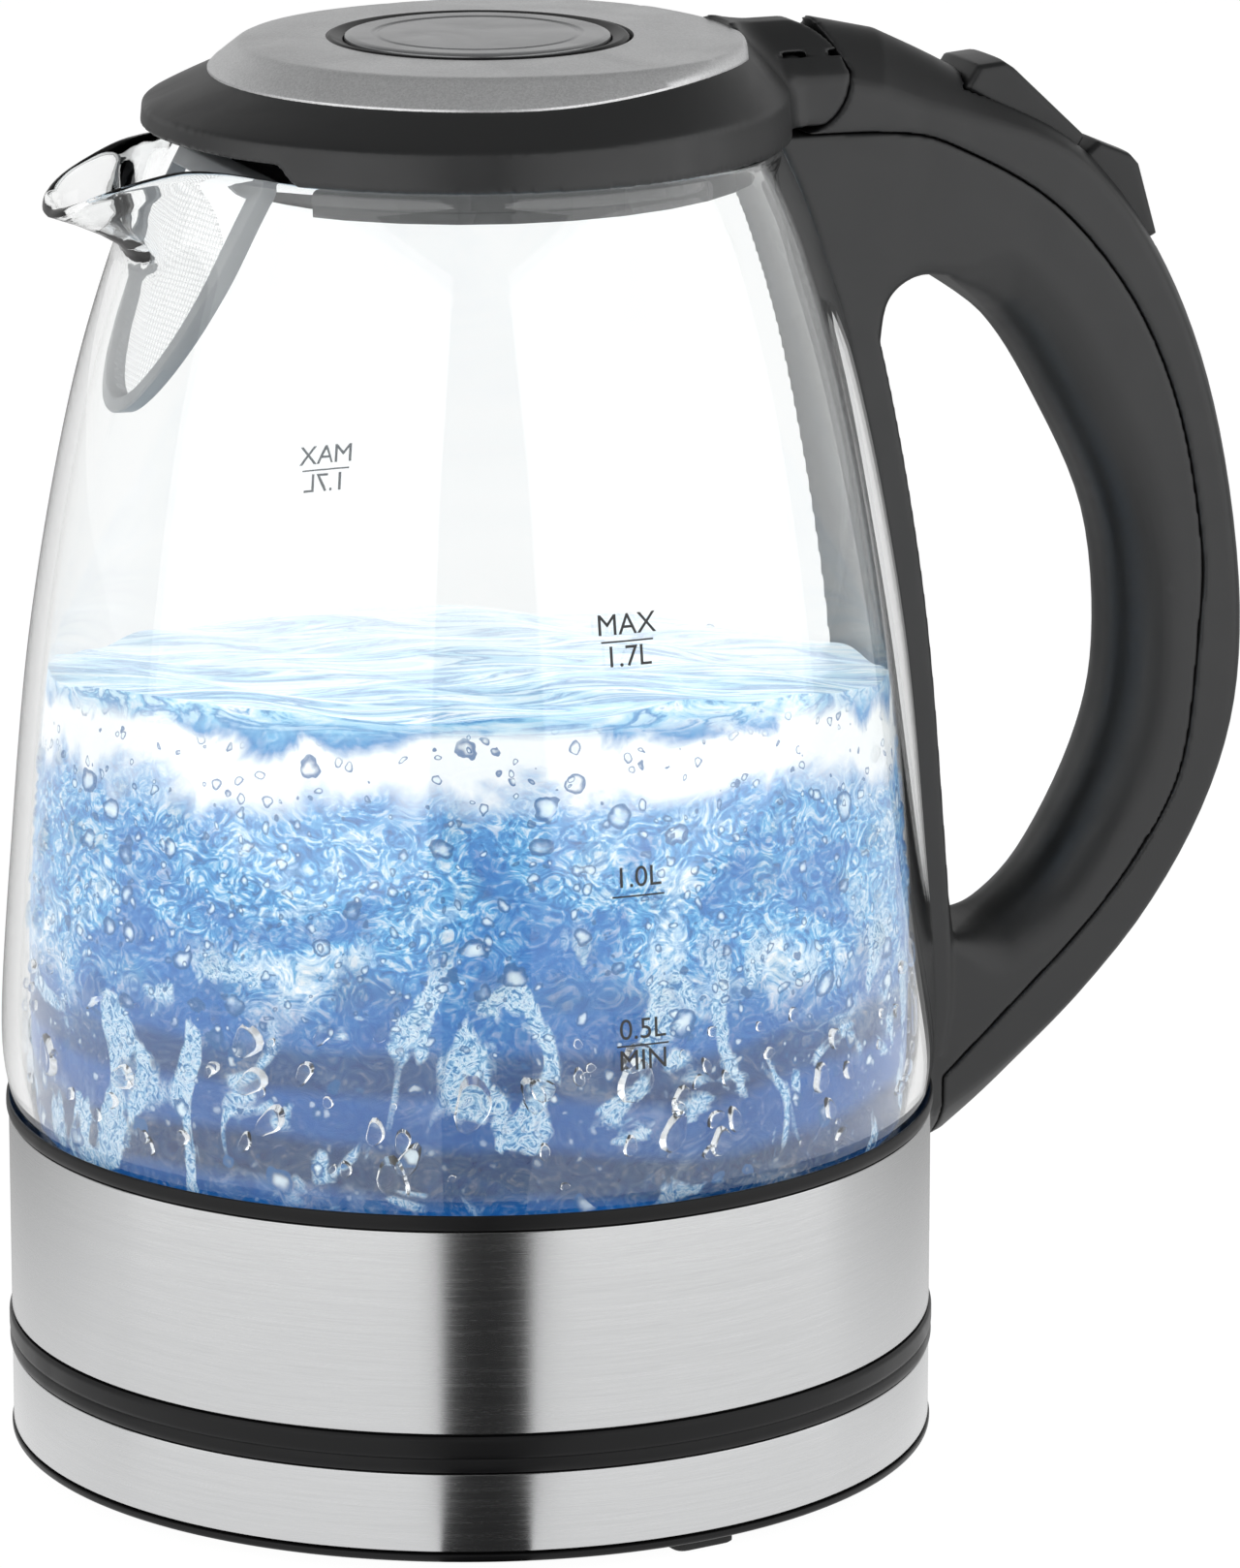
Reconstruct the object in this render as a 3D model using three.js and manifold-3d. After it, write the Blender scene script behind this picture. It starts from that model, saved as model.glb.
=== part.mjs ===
// Cordless glass kettle on a round power base. Millimetres, +Z up, handle towards +X, spout towards -X.
// The origin lies on the jug's axis, on the plane that the feet stand on.
import * as THREE from 'three';
import { mergeVertices } from 'three/addons/utils/BufferGeometryUtils.js';
import Module from 'manifold-3d';

const wasm = await Module();
wasm.setup();

// ---------------------------------------------------------------- driving dimensions
const bodyRadius = 80.2;        // outside of the brushed steel body band
const rimHeight = 229;          // top of the glass rim above the feet
const rimRadius = 52.6;         // outside of the glass at its rim
const glassWall = 3;
const gap = 0.4;                // clearance between pieces that touch or press together
const bandWall = 0.6;
const plasticWall = 2.5;

// power base
const footHeight = 1.6;
const footWidth = 11.5;
const footCount = 3;
const footAngle = -80;
const baseFloorHeight = 2;      // underside of the bottom cover
const baseEdgeHeight = 1.7;
const baseBandHeight = 13.6;
const baseRimHeight = 2.7;
const seatDepth = 2;            // the kettle's seat below the base rim
const hubRadius = 12;
const hubHeight = 1;            // hub face above the feet plane

// body
const partingGap = 0.8;         // dark line between base and kettle
const skirtRimHeight = 2.7;
const bodyBandHeight = 35.1;
const collarHeight = 2.5;
const ringProud = 0.4;          // black rings stand out from the steel bands by this much
const jugFootInset = 1.85;      // glass foot inside the steel band's radius
const jugBelly = 0.97;          // widest glass beyond the steel band
// The glass above its belly: share of the glass height, share of the way from rim to body radius.
const jugSwell = [[0.27, 0.965], [0.51, 0.818], [0.745, 0.55], [0.912, 0.24], [1, 0]];

// spout
const spoutReach = 79;          // axis to the tip
const spoutTipDrop = 8;         // tip below the rim
const spoutRootDrop = 21;       // where the beak leaves the body, below the rim
const spoutHalfAngle = 38;
const spoutSwell = 1.4;         // how late the beak swells out of the body: the power of its rise

// lid
const lidOverhang = 2.8;        // the lid stands out over the rim
const lidSeat = 0.4;            // lid above the glass rim
const lidCrown = 0.5;           // lid centre above the top of the handle
const lidWall = 2.2;
const lidSpoutLift = 3.3;       // the lid's lower edge is raised over the spout
const plateInset = 4.9;         // plate edge inside the lid's edge
const plateThick = 1.2;
const discOffset = 2.2;
const discRadius = 22.6;
const discRingRadius = 25.7;
const skirtClearance = 1.2;     // between the lid's skirt and the inside of the glass
const skirtDepth = 6;
const tongueHalfWidth = 12.5;

// hinge
const hingeSetback = 4;         // hinge axis behind the glass rim
const barrelRadius = 8.7;
const barrelSink = 0.3;         // the barrel's lowest line below the rim
const pinRadius = 1.5;
const lidTravel = 65;           // degrees

// handle
const handleDepth = 63.8;       // back of the grip beyond the steel band
const handleCrown = 0.8;        // top of the handle above the hinge barrel
const handleFootHeight = 45.7;
const handleHalfWidth = 12.5;
const handleEdge = 4;
const spineProud = 5.5;         // strip beside the glass
const spineFootHeight = 28;
const spineFootProud = 2.5;

// buttons
const buttonHalfWidth = 8;
const buttonTravel = 3;

// socket
const bossRise = 12.5;          // above the seat
const channelInner = 5.4;
const channelWidth = 6.2;
const socketWall = 4.4;
const contactWall = 0.6;
const contactClearance = 0.5;
const pinBore = 3.2;
const connectorRingWall = 2;

// ---------------------------------------------------------------- heights that follow
const baseBandFoot = baseFloorHeight + baseEdgeHeight + gap;
const baseBandTop = baseBandFoot + baseBandHeight;
const baseTop = baseBandTop + gap + baseRimHeight;
const seatHeight = baseTop - seatDepth;
const skirtFoot = baseTop + partingGap;
const skirtTop = skirtFoot + skirtRimHeight;
const bodyBandFoot = skirtTop + gap;
const bodyBandTop = bodyBandFoot + bodyBandHeight;
const collarFoot = bodyBandTop + gap;
const collarTop = collarFoot + collarHeight;
const sealTop = collarFoot - 2;
const sealFoot = sealTop - 2;
const glassFoot = sealTop + gap;
const hingeX = rimRadius + hingeSetback;
const hingeZ = rimHeight + barrelRadius - barrelSink;
const handleTop = hingeZ + barrelRadius + handleCrown;
const lidTop = handleTop + lidCrown;
const lidRadius = rimRadius + lidOverhang;
const plateRadius = lidRadius - plateInset;
const handleReach = bodyRadius + handleDepth;
const skirtRadius = rimRadius - glassWall - skirtClearance;
const ringRadius = bodyRadius + ringProud;
const wallRadius = bodyRadius - bandWall - gap;      // plastic walls behind the steel bands
const bossTop = seatHeight + bossRise;
const channelOuter = channelInner + channelWidth;
const bossRadius = channelOuter + socketWall;
const connectorPinRadius = pinBore - contactWall - 2 * gap;
const connectorRingInner = channelInner + gap + contactWall + contactClearance;
const connectorRingOuter = connectorRingInner + connectorRingWall;

// ---------------------------------------------------------------- solid helpers
const bigSides = 32;
const smallSides = 20;

function signedVolume(positions, index) {
  let volume = 0;
  const [a, b, c] = [new THREE.Vector3(), new THREE.Vector3(), new THREE.Vector3()];
  for (let i = 0; i < index.length; i += 3) {
    a.fromArray(positions, index[i] * 3);
    b.fromArray(positions, index[i + 1] * 3);
    c.fromArray(positions, index[i + 2] * 3);
    volume += a.dot(b.cross(c)) / 6;
  }
  return volume;
}

// Merges shared corners, drops collapsed triangles and turns the faces outward.
function toSolid(geometry) {
  const bare = geometry.clone();
  bare.deleteAttribute('normal');
  bare.deleteAttribute('uv');
  const merged = mergeVertices(bare, 1e-4);
  const source = merged.index.array;
  const index = [];
  for (let i = 0; i < source.length; i += 3) {
    const [a, b, c] = [source[i], source[i + 1], source[i + 2]];
    if (a !== b && b !== c && c !== a) index.push(a, b, c);
  }
  const positions = merged.attributes.position.array;
  if (signedVolume(positions, index) < 0) index.reverse();
  const mesh = new wasm.Mesh({
    numProp: 3,
    vertProperties: new Float32Array(positions),
    triVerts: new Uint32Array(index),
  });
  return new wasm.Manifold(mesh);
}

function toGeometry(solid) {
  const mesh = solid.getMesh();
  const geometry = new THREE.BufferGeometry();
  geometry.setAttribute('position', new THREE.BufferAttribute(new Float32Array(mesh.vertProperties), 3));
  geometry.setIndex(new THREE.BufferAttribute(new Uint32Array(mesh.triVerts), 1));
  geometry.computeVertexNormals();
  return geometry;
}

// A solid turned about Z from [radius, height] points; the loop closes by itself.
function turned(profile, sides = bigSides) {
  const points = profile.map(([radius, height]) => new THREE.Vector2(radius, height));
  if (profile[0][0] > 0 || profile[profile.length - 1][0] > 0) points.push(points[0].clone());
  return toSolid(new THREE.LatheGeometry(points, sides).rotateX(Math.PI / 2));
}

function ring(inner, outer, foot, top, sides = bigSides) {
  return turned([[inner, foot], [outer, foot], [outer, top], [inner, top]], sides);
}

function disc(radius, foot, top, sides = bigSides) {
  return turned([[0, foot], [radius, foot], [radius, top], [0, top]], sides);
}

// A prism across the handle: an outline of [x, z] points, from low to high Y.
function acrossY(outline, lowY, highY) {
  const shape = new THREE.Shape(outline.map(([x, z]) => new THREE.Vector2(x, z)));
  const geometry = new THREE.ExtrudeGeometry(shape, { depth: highY - lowY, bevelEnabled: false });
  return toSolid(geometry.rotateX(Math.PI / 2).translate(0, highY, 0));
}

function rodAcrossY(x, z, radius, lowY, highY, sides = 24) {
  const rod = new THREE.CylinderGeometry(radius, radius, highY - lowY, sides);
  return toSolid(rod.translate(x, (lowY + highY) / 2, z));
}

function box(lowX, highX, lowY, highY, lowZ, highZ) {
  const block = new THREE.BoxGeometry(highX - lowX, highY - lowY, highZ - lowZ);
  return toSolid(block.translate((lowX + highX) / 2, (lowY + highY) / 2, (lowZ + highZ) / 2));
}

function smooth(points, count) {
  const curve = new THREE.SplineCurve(points.map(([x, y]) => new THREE.Vector2(x, y)));
  return curve.getPoints(count).map((point) => [point.x, point.y]);
}

function arc(centreX, centreZ, radius, fromDegrees, toDegrees, steps) {
  const points = [];
  for (let i = 0; i <= steps; i += 1) {
    const angle = THREE.MathUtils.degToRad(fromDegrees + ((toDegrees - fromDegrees) * i) / steps);
    points.push([centreX + radius * Math.cos(angle), centreZ + radius * Math.sin(angle)]);
  }
  return points;
}

// Points of an open path moved sideways; a positive distance moves them to the right of travel.
function sideways(path, distance) {
  return path.map((point, i) => {
    const before = path[Math.max(i - 1, 0)];
    const after = path[Math.min(i + 1, path.length - 1)];
    const [dx, dz] = [after[0] - before[0], after[1] - before[1]];
    const length = Math.hypot(dx, dz);
    return [point[0] + (dz / length) * distance, point[1] - (dx / length) * distance];
  });
}

// A wire of round section along a smooth path.
function wire(path, radius, steps, halfSides = 3) {
  const section = new THREE.Shape();
  section.absarc(0, 0, radius, 0, Math.PI * 2, false);
  const options = { steps, curveSegments: halfSides, extrudePath: path, bevelEnabled: false };
  return toSolid(new THREE.ExtrudeGeometry(section, options));
}

function coil(centre, axis, radius, wireRadius, pitch, turns, stepsPerTurn = 10) {
  const points = [];
  const count = turns * stepsPerTurn;
  for (let i = 0; i <= count; i += 1) {
    const angle = (i / stepsPerTurn) * Math.PI * 2;
    const along = (i / stepsPerTurn) * pitch;
    const [c, s] = [radius * Math.cos(angle), radius * Math.sin(angle)];
    const local = axis === 'y' ? new THREE.Vector3(c, along, s) : new THREE.Vector3(c, s, along);
    points.push(local.add(centre));
  }
  return wire(new THREE.CatmullRomCurve3(points), wireRadius, count, 2);
}

function placeAround(solid, radius, degrees) {
  return solid.translate([radius, 0, 0]).rotate([0, 0, degrees]);
}

function smoothStep(value) {
  const t = THREE.MathUtils.clamp(value, 0, 1);
  return t * t * (3 - 2 * t);
}

// ---------------------------------------------------------------- the jug's surface
const jugOutline = new THREE.SplineCurve([
  new THREE.Vector2(0, bodyRadius - jugFootInset),
  new THREE.Vector2(0.03, bodyRadius - 0.15 * jugFootInset),
  new THREE.Vector2(0.1, bodyRadius + jugBelly),
  ...jugSwell.map(([share, swell]) => new THREE.Vector2(share, rimRadius + (bodyRadius - rimRadius) * swell)),
]);
const jugTable = jugOutline.getPoints(80);

function glassRadius(height) {
  const share = THREE.MathUtils.clamp((height - glassFoot) / (rimHeight - glassFoot), 0, 1);
  const next = Math.max(1, jugTable.findIndex((point) => point.x >= share));
  const [low, high] = [jugTable[next - 1], jugTable[next]];
  return THREE.MathUtils.mapLinear(share, low.x, high.x, low.y, high.y);
}

// Plan outline of the beak: two nearly straight sides that meet in a rounded tip.
function beakRadius(degrees) {
  const angle = THREE.MathUtils.degToRad(Math.abs(degrees));
  const edge = THREE.MathUtils.degToRad(spoutHalfAngle);
  const spread = (1 - (rimRadius * Math.cos(edge)) / spoutReach) / (rimRadius * Math.sin(edge));
  const straight = 1 / (Math.cos(angle) / spoutReach + spread * Math.sin(angle));
  const [tipRounding, tipHalfAngle] = [2.5, 5];
  return straight - tipRounding * Math.exp(-((degrees / tipHalfAngle) ** 2));
}

// How far the spout has grown at an angle from its middle: 1 at the tip, 0 beside it.
function spoutShare(degrees) {
  return smoothStep(1 - Math.abs(degrees) / spoutHalfAngle);
}

function jugPoint(degreesFromSpout, share, inward) {
  const dip = spoutTipDrop * spoutShare(degreesFromSpout);
  const top = rimHeight - dip;
  const height = glassFoot + (top - glassFoot) * share;
  const root = rimHeight - spoutRootDrop;
  const beak = Math.abs(degreesFromSpout) < spoutHalfAngle ? beakRadius(degreesFromSpout) - rimRadius : 0;
  const rise = THREE.MathUtils.clamp((height - root) / (top - root), 0, 1);
  const radius = glassRadius(height + dip * rise) + beak * rise ** spoutSwell - inward * (1 + 0.2 * rise);
  const angle = THREE.MathUtils.degToRad(180 + degreesFromSpout);
  return [radius * Math.cos(angle), radius * Math.sin(angle), height];
}

function glassJug() {
  const angles = [];
  for (let i = 0; i <= 14; i += 1) angles.push(-spoutHalfAngle + (i * spoutHalfAngle) / 7);
  const rest = 24;
  for (let i = 1; i < rest; i += 1) angles.push(spoutHalfAngle + (i * (360 - 2 * spoutHalfAngle)) / rest);
  const shares = [0, 0.025, 0.07, 0.13, 0.25, 0.42, 0.58, 0.72, 0.82, 0.885, 0.92, 0.96, 1];
  const positions = [];
  const index = [];
  for (const inward of [0, glassWall]) {
    for (const share of shares) {
      for (const degrees of angles) positions.push(...jugPoint(degrees, share, inward));
    }
  }
  const columns = angles.length;
  const rows = shares.length;
  const quad = (a, b, c, d) => index.push(a, b, c, a, c, d);
  for (let column = 0; column < columns; column += 1) {
    const next = (column + 1) % columns;
    for (let row = 0; row + 1 < rows; row += 1) {
      const [low, high] = [row * columns, (row + 1) * columns];
      const inside = rows * columns;
      quad(low + column, low + next, high + next, high + column);
      quad(inside + low + next, inside + low + column, inside + high + column, inside + high + next);
    }
    const [lastOut, firstIn, lastIn] = [(rows - 1) * columns, rows * columns, (2 * rows - 1) * columns];
    quad(lastOut + column, lastOut + next, lastIn + next, lastIn + column);
    quad(next, column, firstIn + column, firstIn + next);
  }
  const geometry = new THREE.BufferGeometry();
  geometry.setAttribute('position', new THREE.BufferAttribute(new Float32Array(positions), 3));
  geometry.setIndex(index);
  return toSolid(geometry);
}

// The jug with its clearance, as one filled body, for cutting what lies against it.
function jugClearance() {
  const profile = [[0, glassFoot - 1]];
  for (let i = 0; i <= 24; i += 1) {
    const height = glassFoot - 1 + ((rimHeight + lidSeat - glassFoot + 1) * i) / 24;
    profile.push([glassRadius(height) + gap + 0.3, height]);
  }
  profile.push([0, rimHeight + lidSeat]);
  return turned(profile);
}

// ---------------------------------------------------------------- power base
const screwRing = bodyRadius - 22.2;
const screwShank = 1.5;
const screwHead = 3.2;
const coverThick = 2;
const inletAngle = 69;
const inletRadius = 4.2;
const inletHeight = (baseBandFoot + baseBandTop) / 2;

function aroundInlet(solid) {
  return solid.rotate([0, 90, 0]).translate([0, 0, inletHeight]).rotate([0, 0, inletAngle]);
}

function inletCutter() {
  return aroundInlet(disc(inletRadius + gap, bodyRadius - 12, bodyRadius + 6, 24));
}

function baseBottomCover() {
  const rim = ringRadius;
  const inner = wallRadius - plasticWall - gap;
  let cover = turned([
    [0, hubHeight], [hubRadius, hubHeight], [hubRadius + 1, baseFloorHeight], [rim - 0.8, baseFloorHeight],
    [rim, baseFloorHeight + 0.8], [rim, baseFloorHeight + baseEdgeHeight],
    [inner, baseFloorHeight + baseEdgeHeight], [inner, baseFloorHeight + baseEdgeHeight + 2],
    [inner - 1.6, baseFloorHeight + baseEdgeHeight + 2], [inner - 1.6, baseFloorHeight + coverThick],
    [0, baseFloorHeight + coverThick],
  ]);
  for (let i = 0; i < 3; i += 1) {
    const hole = disc(screwShank + gap, 0, baseFloorHeight + coverThick + 1, 16);
    const sink = disc(screwHead + gap, 0, baseFloorHeight + 1.2, 16);
    cover = cover.subtract(placeAround(hole.add(sink), screwRing, 30 + i * 120));
  }
  return cover;
}

function baseFoot(number) {
  const half = footWidth / 2;
  const depth = 8;
  const outline = new THREE.Shape();
  const corner = 2;
  outline.moveTo(-depth / 2 + corner, -half);
  outline.absarc(depth / 2 - corner, -half + corner, corner, -Math.PI / 2, 0, false);
  outline.absarc(depth / 2 - corner, half - corner, corner, 0, Math.PI / 2, false);
  outline.absarc(-depth / 2 + corner, half - corner, corner, Math.PI / 2, Math.PI, false);
  outline.absarc(-depth / 2 + corner, -half + corner, corner, Math.PI, Math.PI * 1.5, false);
  const options = { depth: footHeight, bevelEnabled: false, curveSegments: 4 };
  const pad = toSolid(new THREE.ExtrudeGeometry(outline, options));
  return placeAround(pad, ringRadius - 3.3 - depth / 2, footAngle + (number * 360) / footCount);
}

function baseScrew(number) {
  const headTop = baseFloorHeight + 0.9;
  const screw = turned([
    [0, baseFloorHeight + 0.1], [screwHead, baseFloorHeight + 0.1], [screwHead, headTop],
    [screwShank, headTop], [screwShank, headTop + 9], [0, headTop + 9],
  ], 16);
  return placeAround(screw, screwRing, 30 + number * 120);
}

function baseBand() {
  return ring(bodyRadius - bandWall, bodyRadius, baseBandFoot, baseBandTop).subtract(inletCutter());
}

function baseTray() {
  const rimInner = ringRadius - 3.4;
  const floor = seatHeight;
  const under = floor - 1.8;
  let tray = turned([
    [bossRadius + gap, under], [wallRadius - plasticWall, under], [wallRadius - plasticWall, baseBandFoot],
    [wallRadius, baseBandFoot], [wallRadius, baseBandTop + gap], [ringRadius - 0.3, baseBandTop + gap],
    [ringRadius, baseBandTop + gap + 0.8], [ringRadius - 0.2, baseTop - 0.5], [ringRadius - 0.9, baseTop],
    [rimInner, baseTop], [rimInner - 1.2, floor], [bossRadius + gap, floor],
  ]);
  for (let i = 0; i < 3; i += 1) {
    const post = ring(screwShank + gap, 4, baseFloorHeight + coverThick + gap, under + 0.1, 16);
    tray = tray.add(placeAround(post, screwRing, 30 + i * 120));
  }
  return tray.subtract(inletCutter());
}

function cordInlet() {
  const face = bodyRadius;
  const bush = turned([
    [2.9, face - 8], [inletRadius, face - 8], [inletRadius, face + 0.2], [inletRadius, face + 0.4],
    [2.9, face + 0.4],
  ], 20);
  return aroundInlet(bush);
}

function socketHousing() {
  const floor = seatHeight - 8;
  const under = seatHeight - 1.8 - gap;
  return turned([
    [pinBore, floor - 2], [bossRadius + 6, floor - 2], [bossRadius + 6, under], [bossRadius, under],
    [bossRadius, bossTop - 1], [bossRadius - 1, bossTop], [channelOuter, bossTop], [channelOuter, floor],
    [channelInner, floor], [channelInner, bossTop - 2], [pinBore, bossTop - 2],
  ], smallSides);
}

const channelFloor = seatHeight - 8;
const ringTip = channelFloor + 8;                     // lower end of the kettle's connector ring
const shutterThick = 1.6;

function socketSleeve(inner, height) {
  return ring(inner, inner + contactWall, channelFloor + gap, channelFloor + height, smallSides);
}

function connectorShutter() {
  const top = ringTip - gap;
  const inner = channelInner + contactWall + 2 * gap;
  const outer = channelOuter - contactWall - 2 * gap;
  return ring(inner, outer, top - shutterThick, top, smallSides);
}

function shutterSpring() {
  const radius = (channelInner + channelOuter) / 2;
  const centre = new THREE.Vector3(0, 0, channelFloor + 0.9);
  return coil(centre, 'z', radius, 0.45, 1.4, 3);
}

// ---------------------------------------------------------------- lower body
const skirtScrewRing = bodyRadius - 30.2;
const plateTop = sealTop + gap + plateThick;
const collarLedge = bodyRadius - 10.2;
const elementRadius = collarLedge - 32;
const elementTube = 3.4;
const socketRecess = bossRadius + 1.4;
const controlRadius = socketRecess + 6.6;
const roofRise = 2.4;                                 // free height above the socket boss
const windowRing = collarLedge - 13;
const windowRadius = 3;
const discSpacing = 14;                               // boil-dry discs, each side of the middle
const spreaderThick = 2.4;
const boilDryRadius = 6;

function bottomSkirt() {
  const seatRing = bodyRadius - 7.2;
  const plateFoot = skirtFoot + 0.8;
  let skirt = turned([
    [socketRecess, plateFoot], [seatRing - 1.4, plateFoot], [seatRing - 1.4, seatHeight + gap],
    [seatRing + 1.4, seatHeight + gap], [seatRing + 1.4, skirtFoot], [ringRadius - 0.9, skirtFoot],
    [ringRadius - 0.2, skirtFoot + 0.5], [ringRadius, skirtTop - 0.8], [ringRadius - 0.3, skirtTop],
    [wallRadius, skirtTop], [wallRadius, skirtTop + 9], [wallRadius - plasticWall, skirtTop + 9],
    [wallRadius - plasticWall, plateFoot + 1.8], [socketRecess, plateFoot + 1.8],
  ]);
  for (let i = 0; i < 3; i += 1) {
    const hole = disc(screwShank + gap, 0, skirtTop + 2, 16);
    skirt = skirt.subtract(placeAround(hole, skirtScrewRing, 90 + i * 120));
  }
  return skirt;
}

function skirtScrew(number) {
  const headFoot = skirtFoot - 0.4;
  const screw = turned([
    [0, headFoot], [screwHead, headFoot], [screwHead, headFoot + 0.8], [screwShank, headFoot + 0.8],
    [screwShank, headFoot + 12], [0, headFoot + 12],
  ], 16);
  return placeAround(screw, skirtScrewRing, 90 + number * 120);
}

function bodyBand() {
  return ring(bodyRadius - bandWall, bodyRadius, bodyBandFoot, bodyBandTop);
}

function lowerCollar() {
  const ledgeTop = sealFoot - gap;
  const ledgeFoot = ledgeTop - 2;
  const inner = wallRadius - plasticWall;
  const wallFoot = skirtTop + 9 + gap;
  const glass = glassRadius(collarTop) + gap + 0.2;
  return turned([
    [collarLedge, ledgeFoot], [inner, ledgeFoot], [inner, wallFoot], [wallRadius, wallFoot],
    [wallRadius, collarFoot], [ringRadius - 0.3, collarFoot], [ringRadius, collarFoot + 0.8],
    [ringRadius - 0.1, collarTop - 0.8], [glass + 0.35, collarTop], [glass, collarTop - 0.4],
    [glassRadius(glassFoot) + gap + 0.3, collarFoot - 1], [glassRadius(glassFoot) + gap + 0.3, ledgeTop],
    [collarLedge, ledgeTop],
  ]);
}

function plateSeal() {
  return ring(collarLedge + 1, glassRadius(glassFoot) - gap, sealFoot, sealTop);
}

function heatingPlate() {
  const outer = glassRadius(glassFoot) - glassWall - gap - 0.4;
  const foot = sealTop + gap;
  let plate = turned([
    [0, foot - 0.8], [40, foot - 0.8], [collarLedge - 2, foot], [outer, foot], [outer, plateTop],
    [collarLedge - 2.4, plateTop], [39.6, plateTop - 0.8], [0, plateTop - 0.8],
  ]);
  for (let i = 0; i < 2; i += 1) {
    const hole = disc(windowRadius + gap, foot - 5, plateTop + 5, 16);
    plate = plate.subtract(placeAround(hole, windowRing, 60 + i * 180));
  }
  return plate;
}

function lightWindow(number) {
  const foot = sealTop + gap;
  const lens = disc(windowRadius, foot - 4, plateTop + 0.4, 16);
  return placeAround(lens, windowRing, 60 + number * 180);
}

function lightBoard() {
  const foot = sealTop + gap - 7;
  const halfWidth = 4;
  const outerArc = arc(0, 0, windowRing + halfWidth, -132, 72, 20);
  const arcPoints = outerArc.concat(arc(0, 0, windowRing - halfWidth, 72, -132, 20));
  const shape = new THREE.Shape(arcPoints.map(([x, y]) => new THREE.Vector2(x, y)));
  const options = { depth: 1.6, bevelEnabled: false };
  return toSolid(new THREE.ExtrudeGeometry(shape, options).translate(0, 0, foot));
}

function heatSpreader() {
  const top = sealTop - 0.8;
  return disc(elementRadius + 8, top - spreaderThick, top, 40).subtract(controlPocket());
}

function controlPocket() {
  const pocket = disc(boilDryRadius + gap, sealTop - 6, sealTop + 2, 16);
  return pocket.translate([discSpacing, 0, 0]).add(pocket.translate([-discSpacing, 0, 0]));
}

function heatingElement() {
  const height = sealTop - 3.2 - gap - elementTube;
  const start = THREE.MathUtils.degToRad(25);
  const sweep = Math.PI * 2 - 2 * start;
  const steps = 24;
  const [endX, endY, endZ] = [elementRadius * Math.cos(start), elementRadius * Math.sin(start), height - 14];
  const bendZ = height - elementTube;
  const points = [new THREE.Vector3(endX, endY, endZ), new THREE.Vector3(endX, endY, bendZ)];
  for (let i = 1; i < steps; i += 1) {
    const angle = start + (sweep * i) / steps;
    points.push(new THREE.Vector3(elementRadius * Math.cos(angle), elementRadius * Math.sin(angle), height));
  }
  points.push(new THREE.Vector3(endX, -endY, bendZ), new THREE.Vector3(endX, -endY, endZ));
  return wire(new THREE.CatmullRomCurve3(points, false, 'centripetal'), elementTube, 32, 3);
}

function boilDryDisc(number) {
  const side = number === 0 ? discSpacing : -discSpacing;
  return disc(boilDryRadius, sealTop - 3.4, sealTop - 2.6, 16).translate([side, 0, 0]);
}

function controlBlock() {
  const foot = skirtFoot + 0.8 + 1.8 + gap;
  const top = sealTop - 3.2 - 1.4;
  const roof = bossTop + roofRise;
  let block = turned([
    [0, roof], [socketRecess, roof], [socketRecess, foot], [controlRadius, foot], [controlRadius, top],
    [0, top],
  ], smallSides);
  const ringSlot = ring(connectorRingInner - gap, connectorRingOuter + gap, roof - 1, roof + 3.4, smallSides);
  return block.subtract(ringSlot).subtract(disc(connectorPinRadius + gap, roof - 1, roof + 6, 16));
}

function connectorPin() {
  return disc(connectorPinRadius, channelFloor + 4, bossTop + roofRise + 5, 16);
}

function connectorRing() {
  return ring(connectorRingInner, connectorRingOuter, ringTip, bossTop + roofRise + 3, smallSides);
}

// ---------------------------------------------------------------- spout filter
const filterHalfWidth = 22;
const filterDepth = 41;
const filterBar = 2.6;

function filterOutline(count, inset) {
  const points = [];
  for (let i = 0; i < count; i += 1) {
    const angle = (i / count) * Math.PI * 2;
    const down = (1 - Math.cos(angle)) / 2;
    const width = (filterHalfWidth - inset) * Math.sin(angle) * (1 - 0.42 * down ** 2) * 1.12;
    const side = THREE.MathUtils.clamp(width, inset - filterHalfWidth, filterHalfWidth - inset);
    points.push([side, rimHeight - 1.5 - inset - (filterDepth - 2 * inset) * down]);
  }
  return points;
}

function filterPoint(side, height, inward) {
  const radius = glassRadius(height) - glassWall * 1.1 - 1.2 - inward;
  return [-Math.sqrt(radius ** 2 - side ** 2), side, height];
}

function filterFrame() {
  const count = 28;
  const outer = filterOutline(count, 0);
  const inner = filterOutline(count, filterBar);
  const positions = [];
  for (let i = 0; i < count; i += 1) {
    positions.push(...filterPoint(...outer[i], 0), ...filterPoint(...inner[i], 0));
    positions.push(...filterPoint(...inner[i], 3), ...filterPoint(...outer[i], 3));
  }
  const index = [];
  for (let i = 0; i < count; i += 1) {
    const [here, next] = [i * 4, ((i + 1) % count) * 4];
    for (let k = 0; k < 4; k += 1) {
      const turn = (k + 1) % 4;
      index.push(here + k, next + k, next + turn, here + k, next + turn, here + turn);
    }
  }
  const geometry = new THREE.BufferGeometry();
  geometry.setAttribute('position', new THREE.BufferAttribute(new Float32Array(positions), 3));
  geometry.setIndex(index);
  return toSolid(geometry);
}

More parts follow.
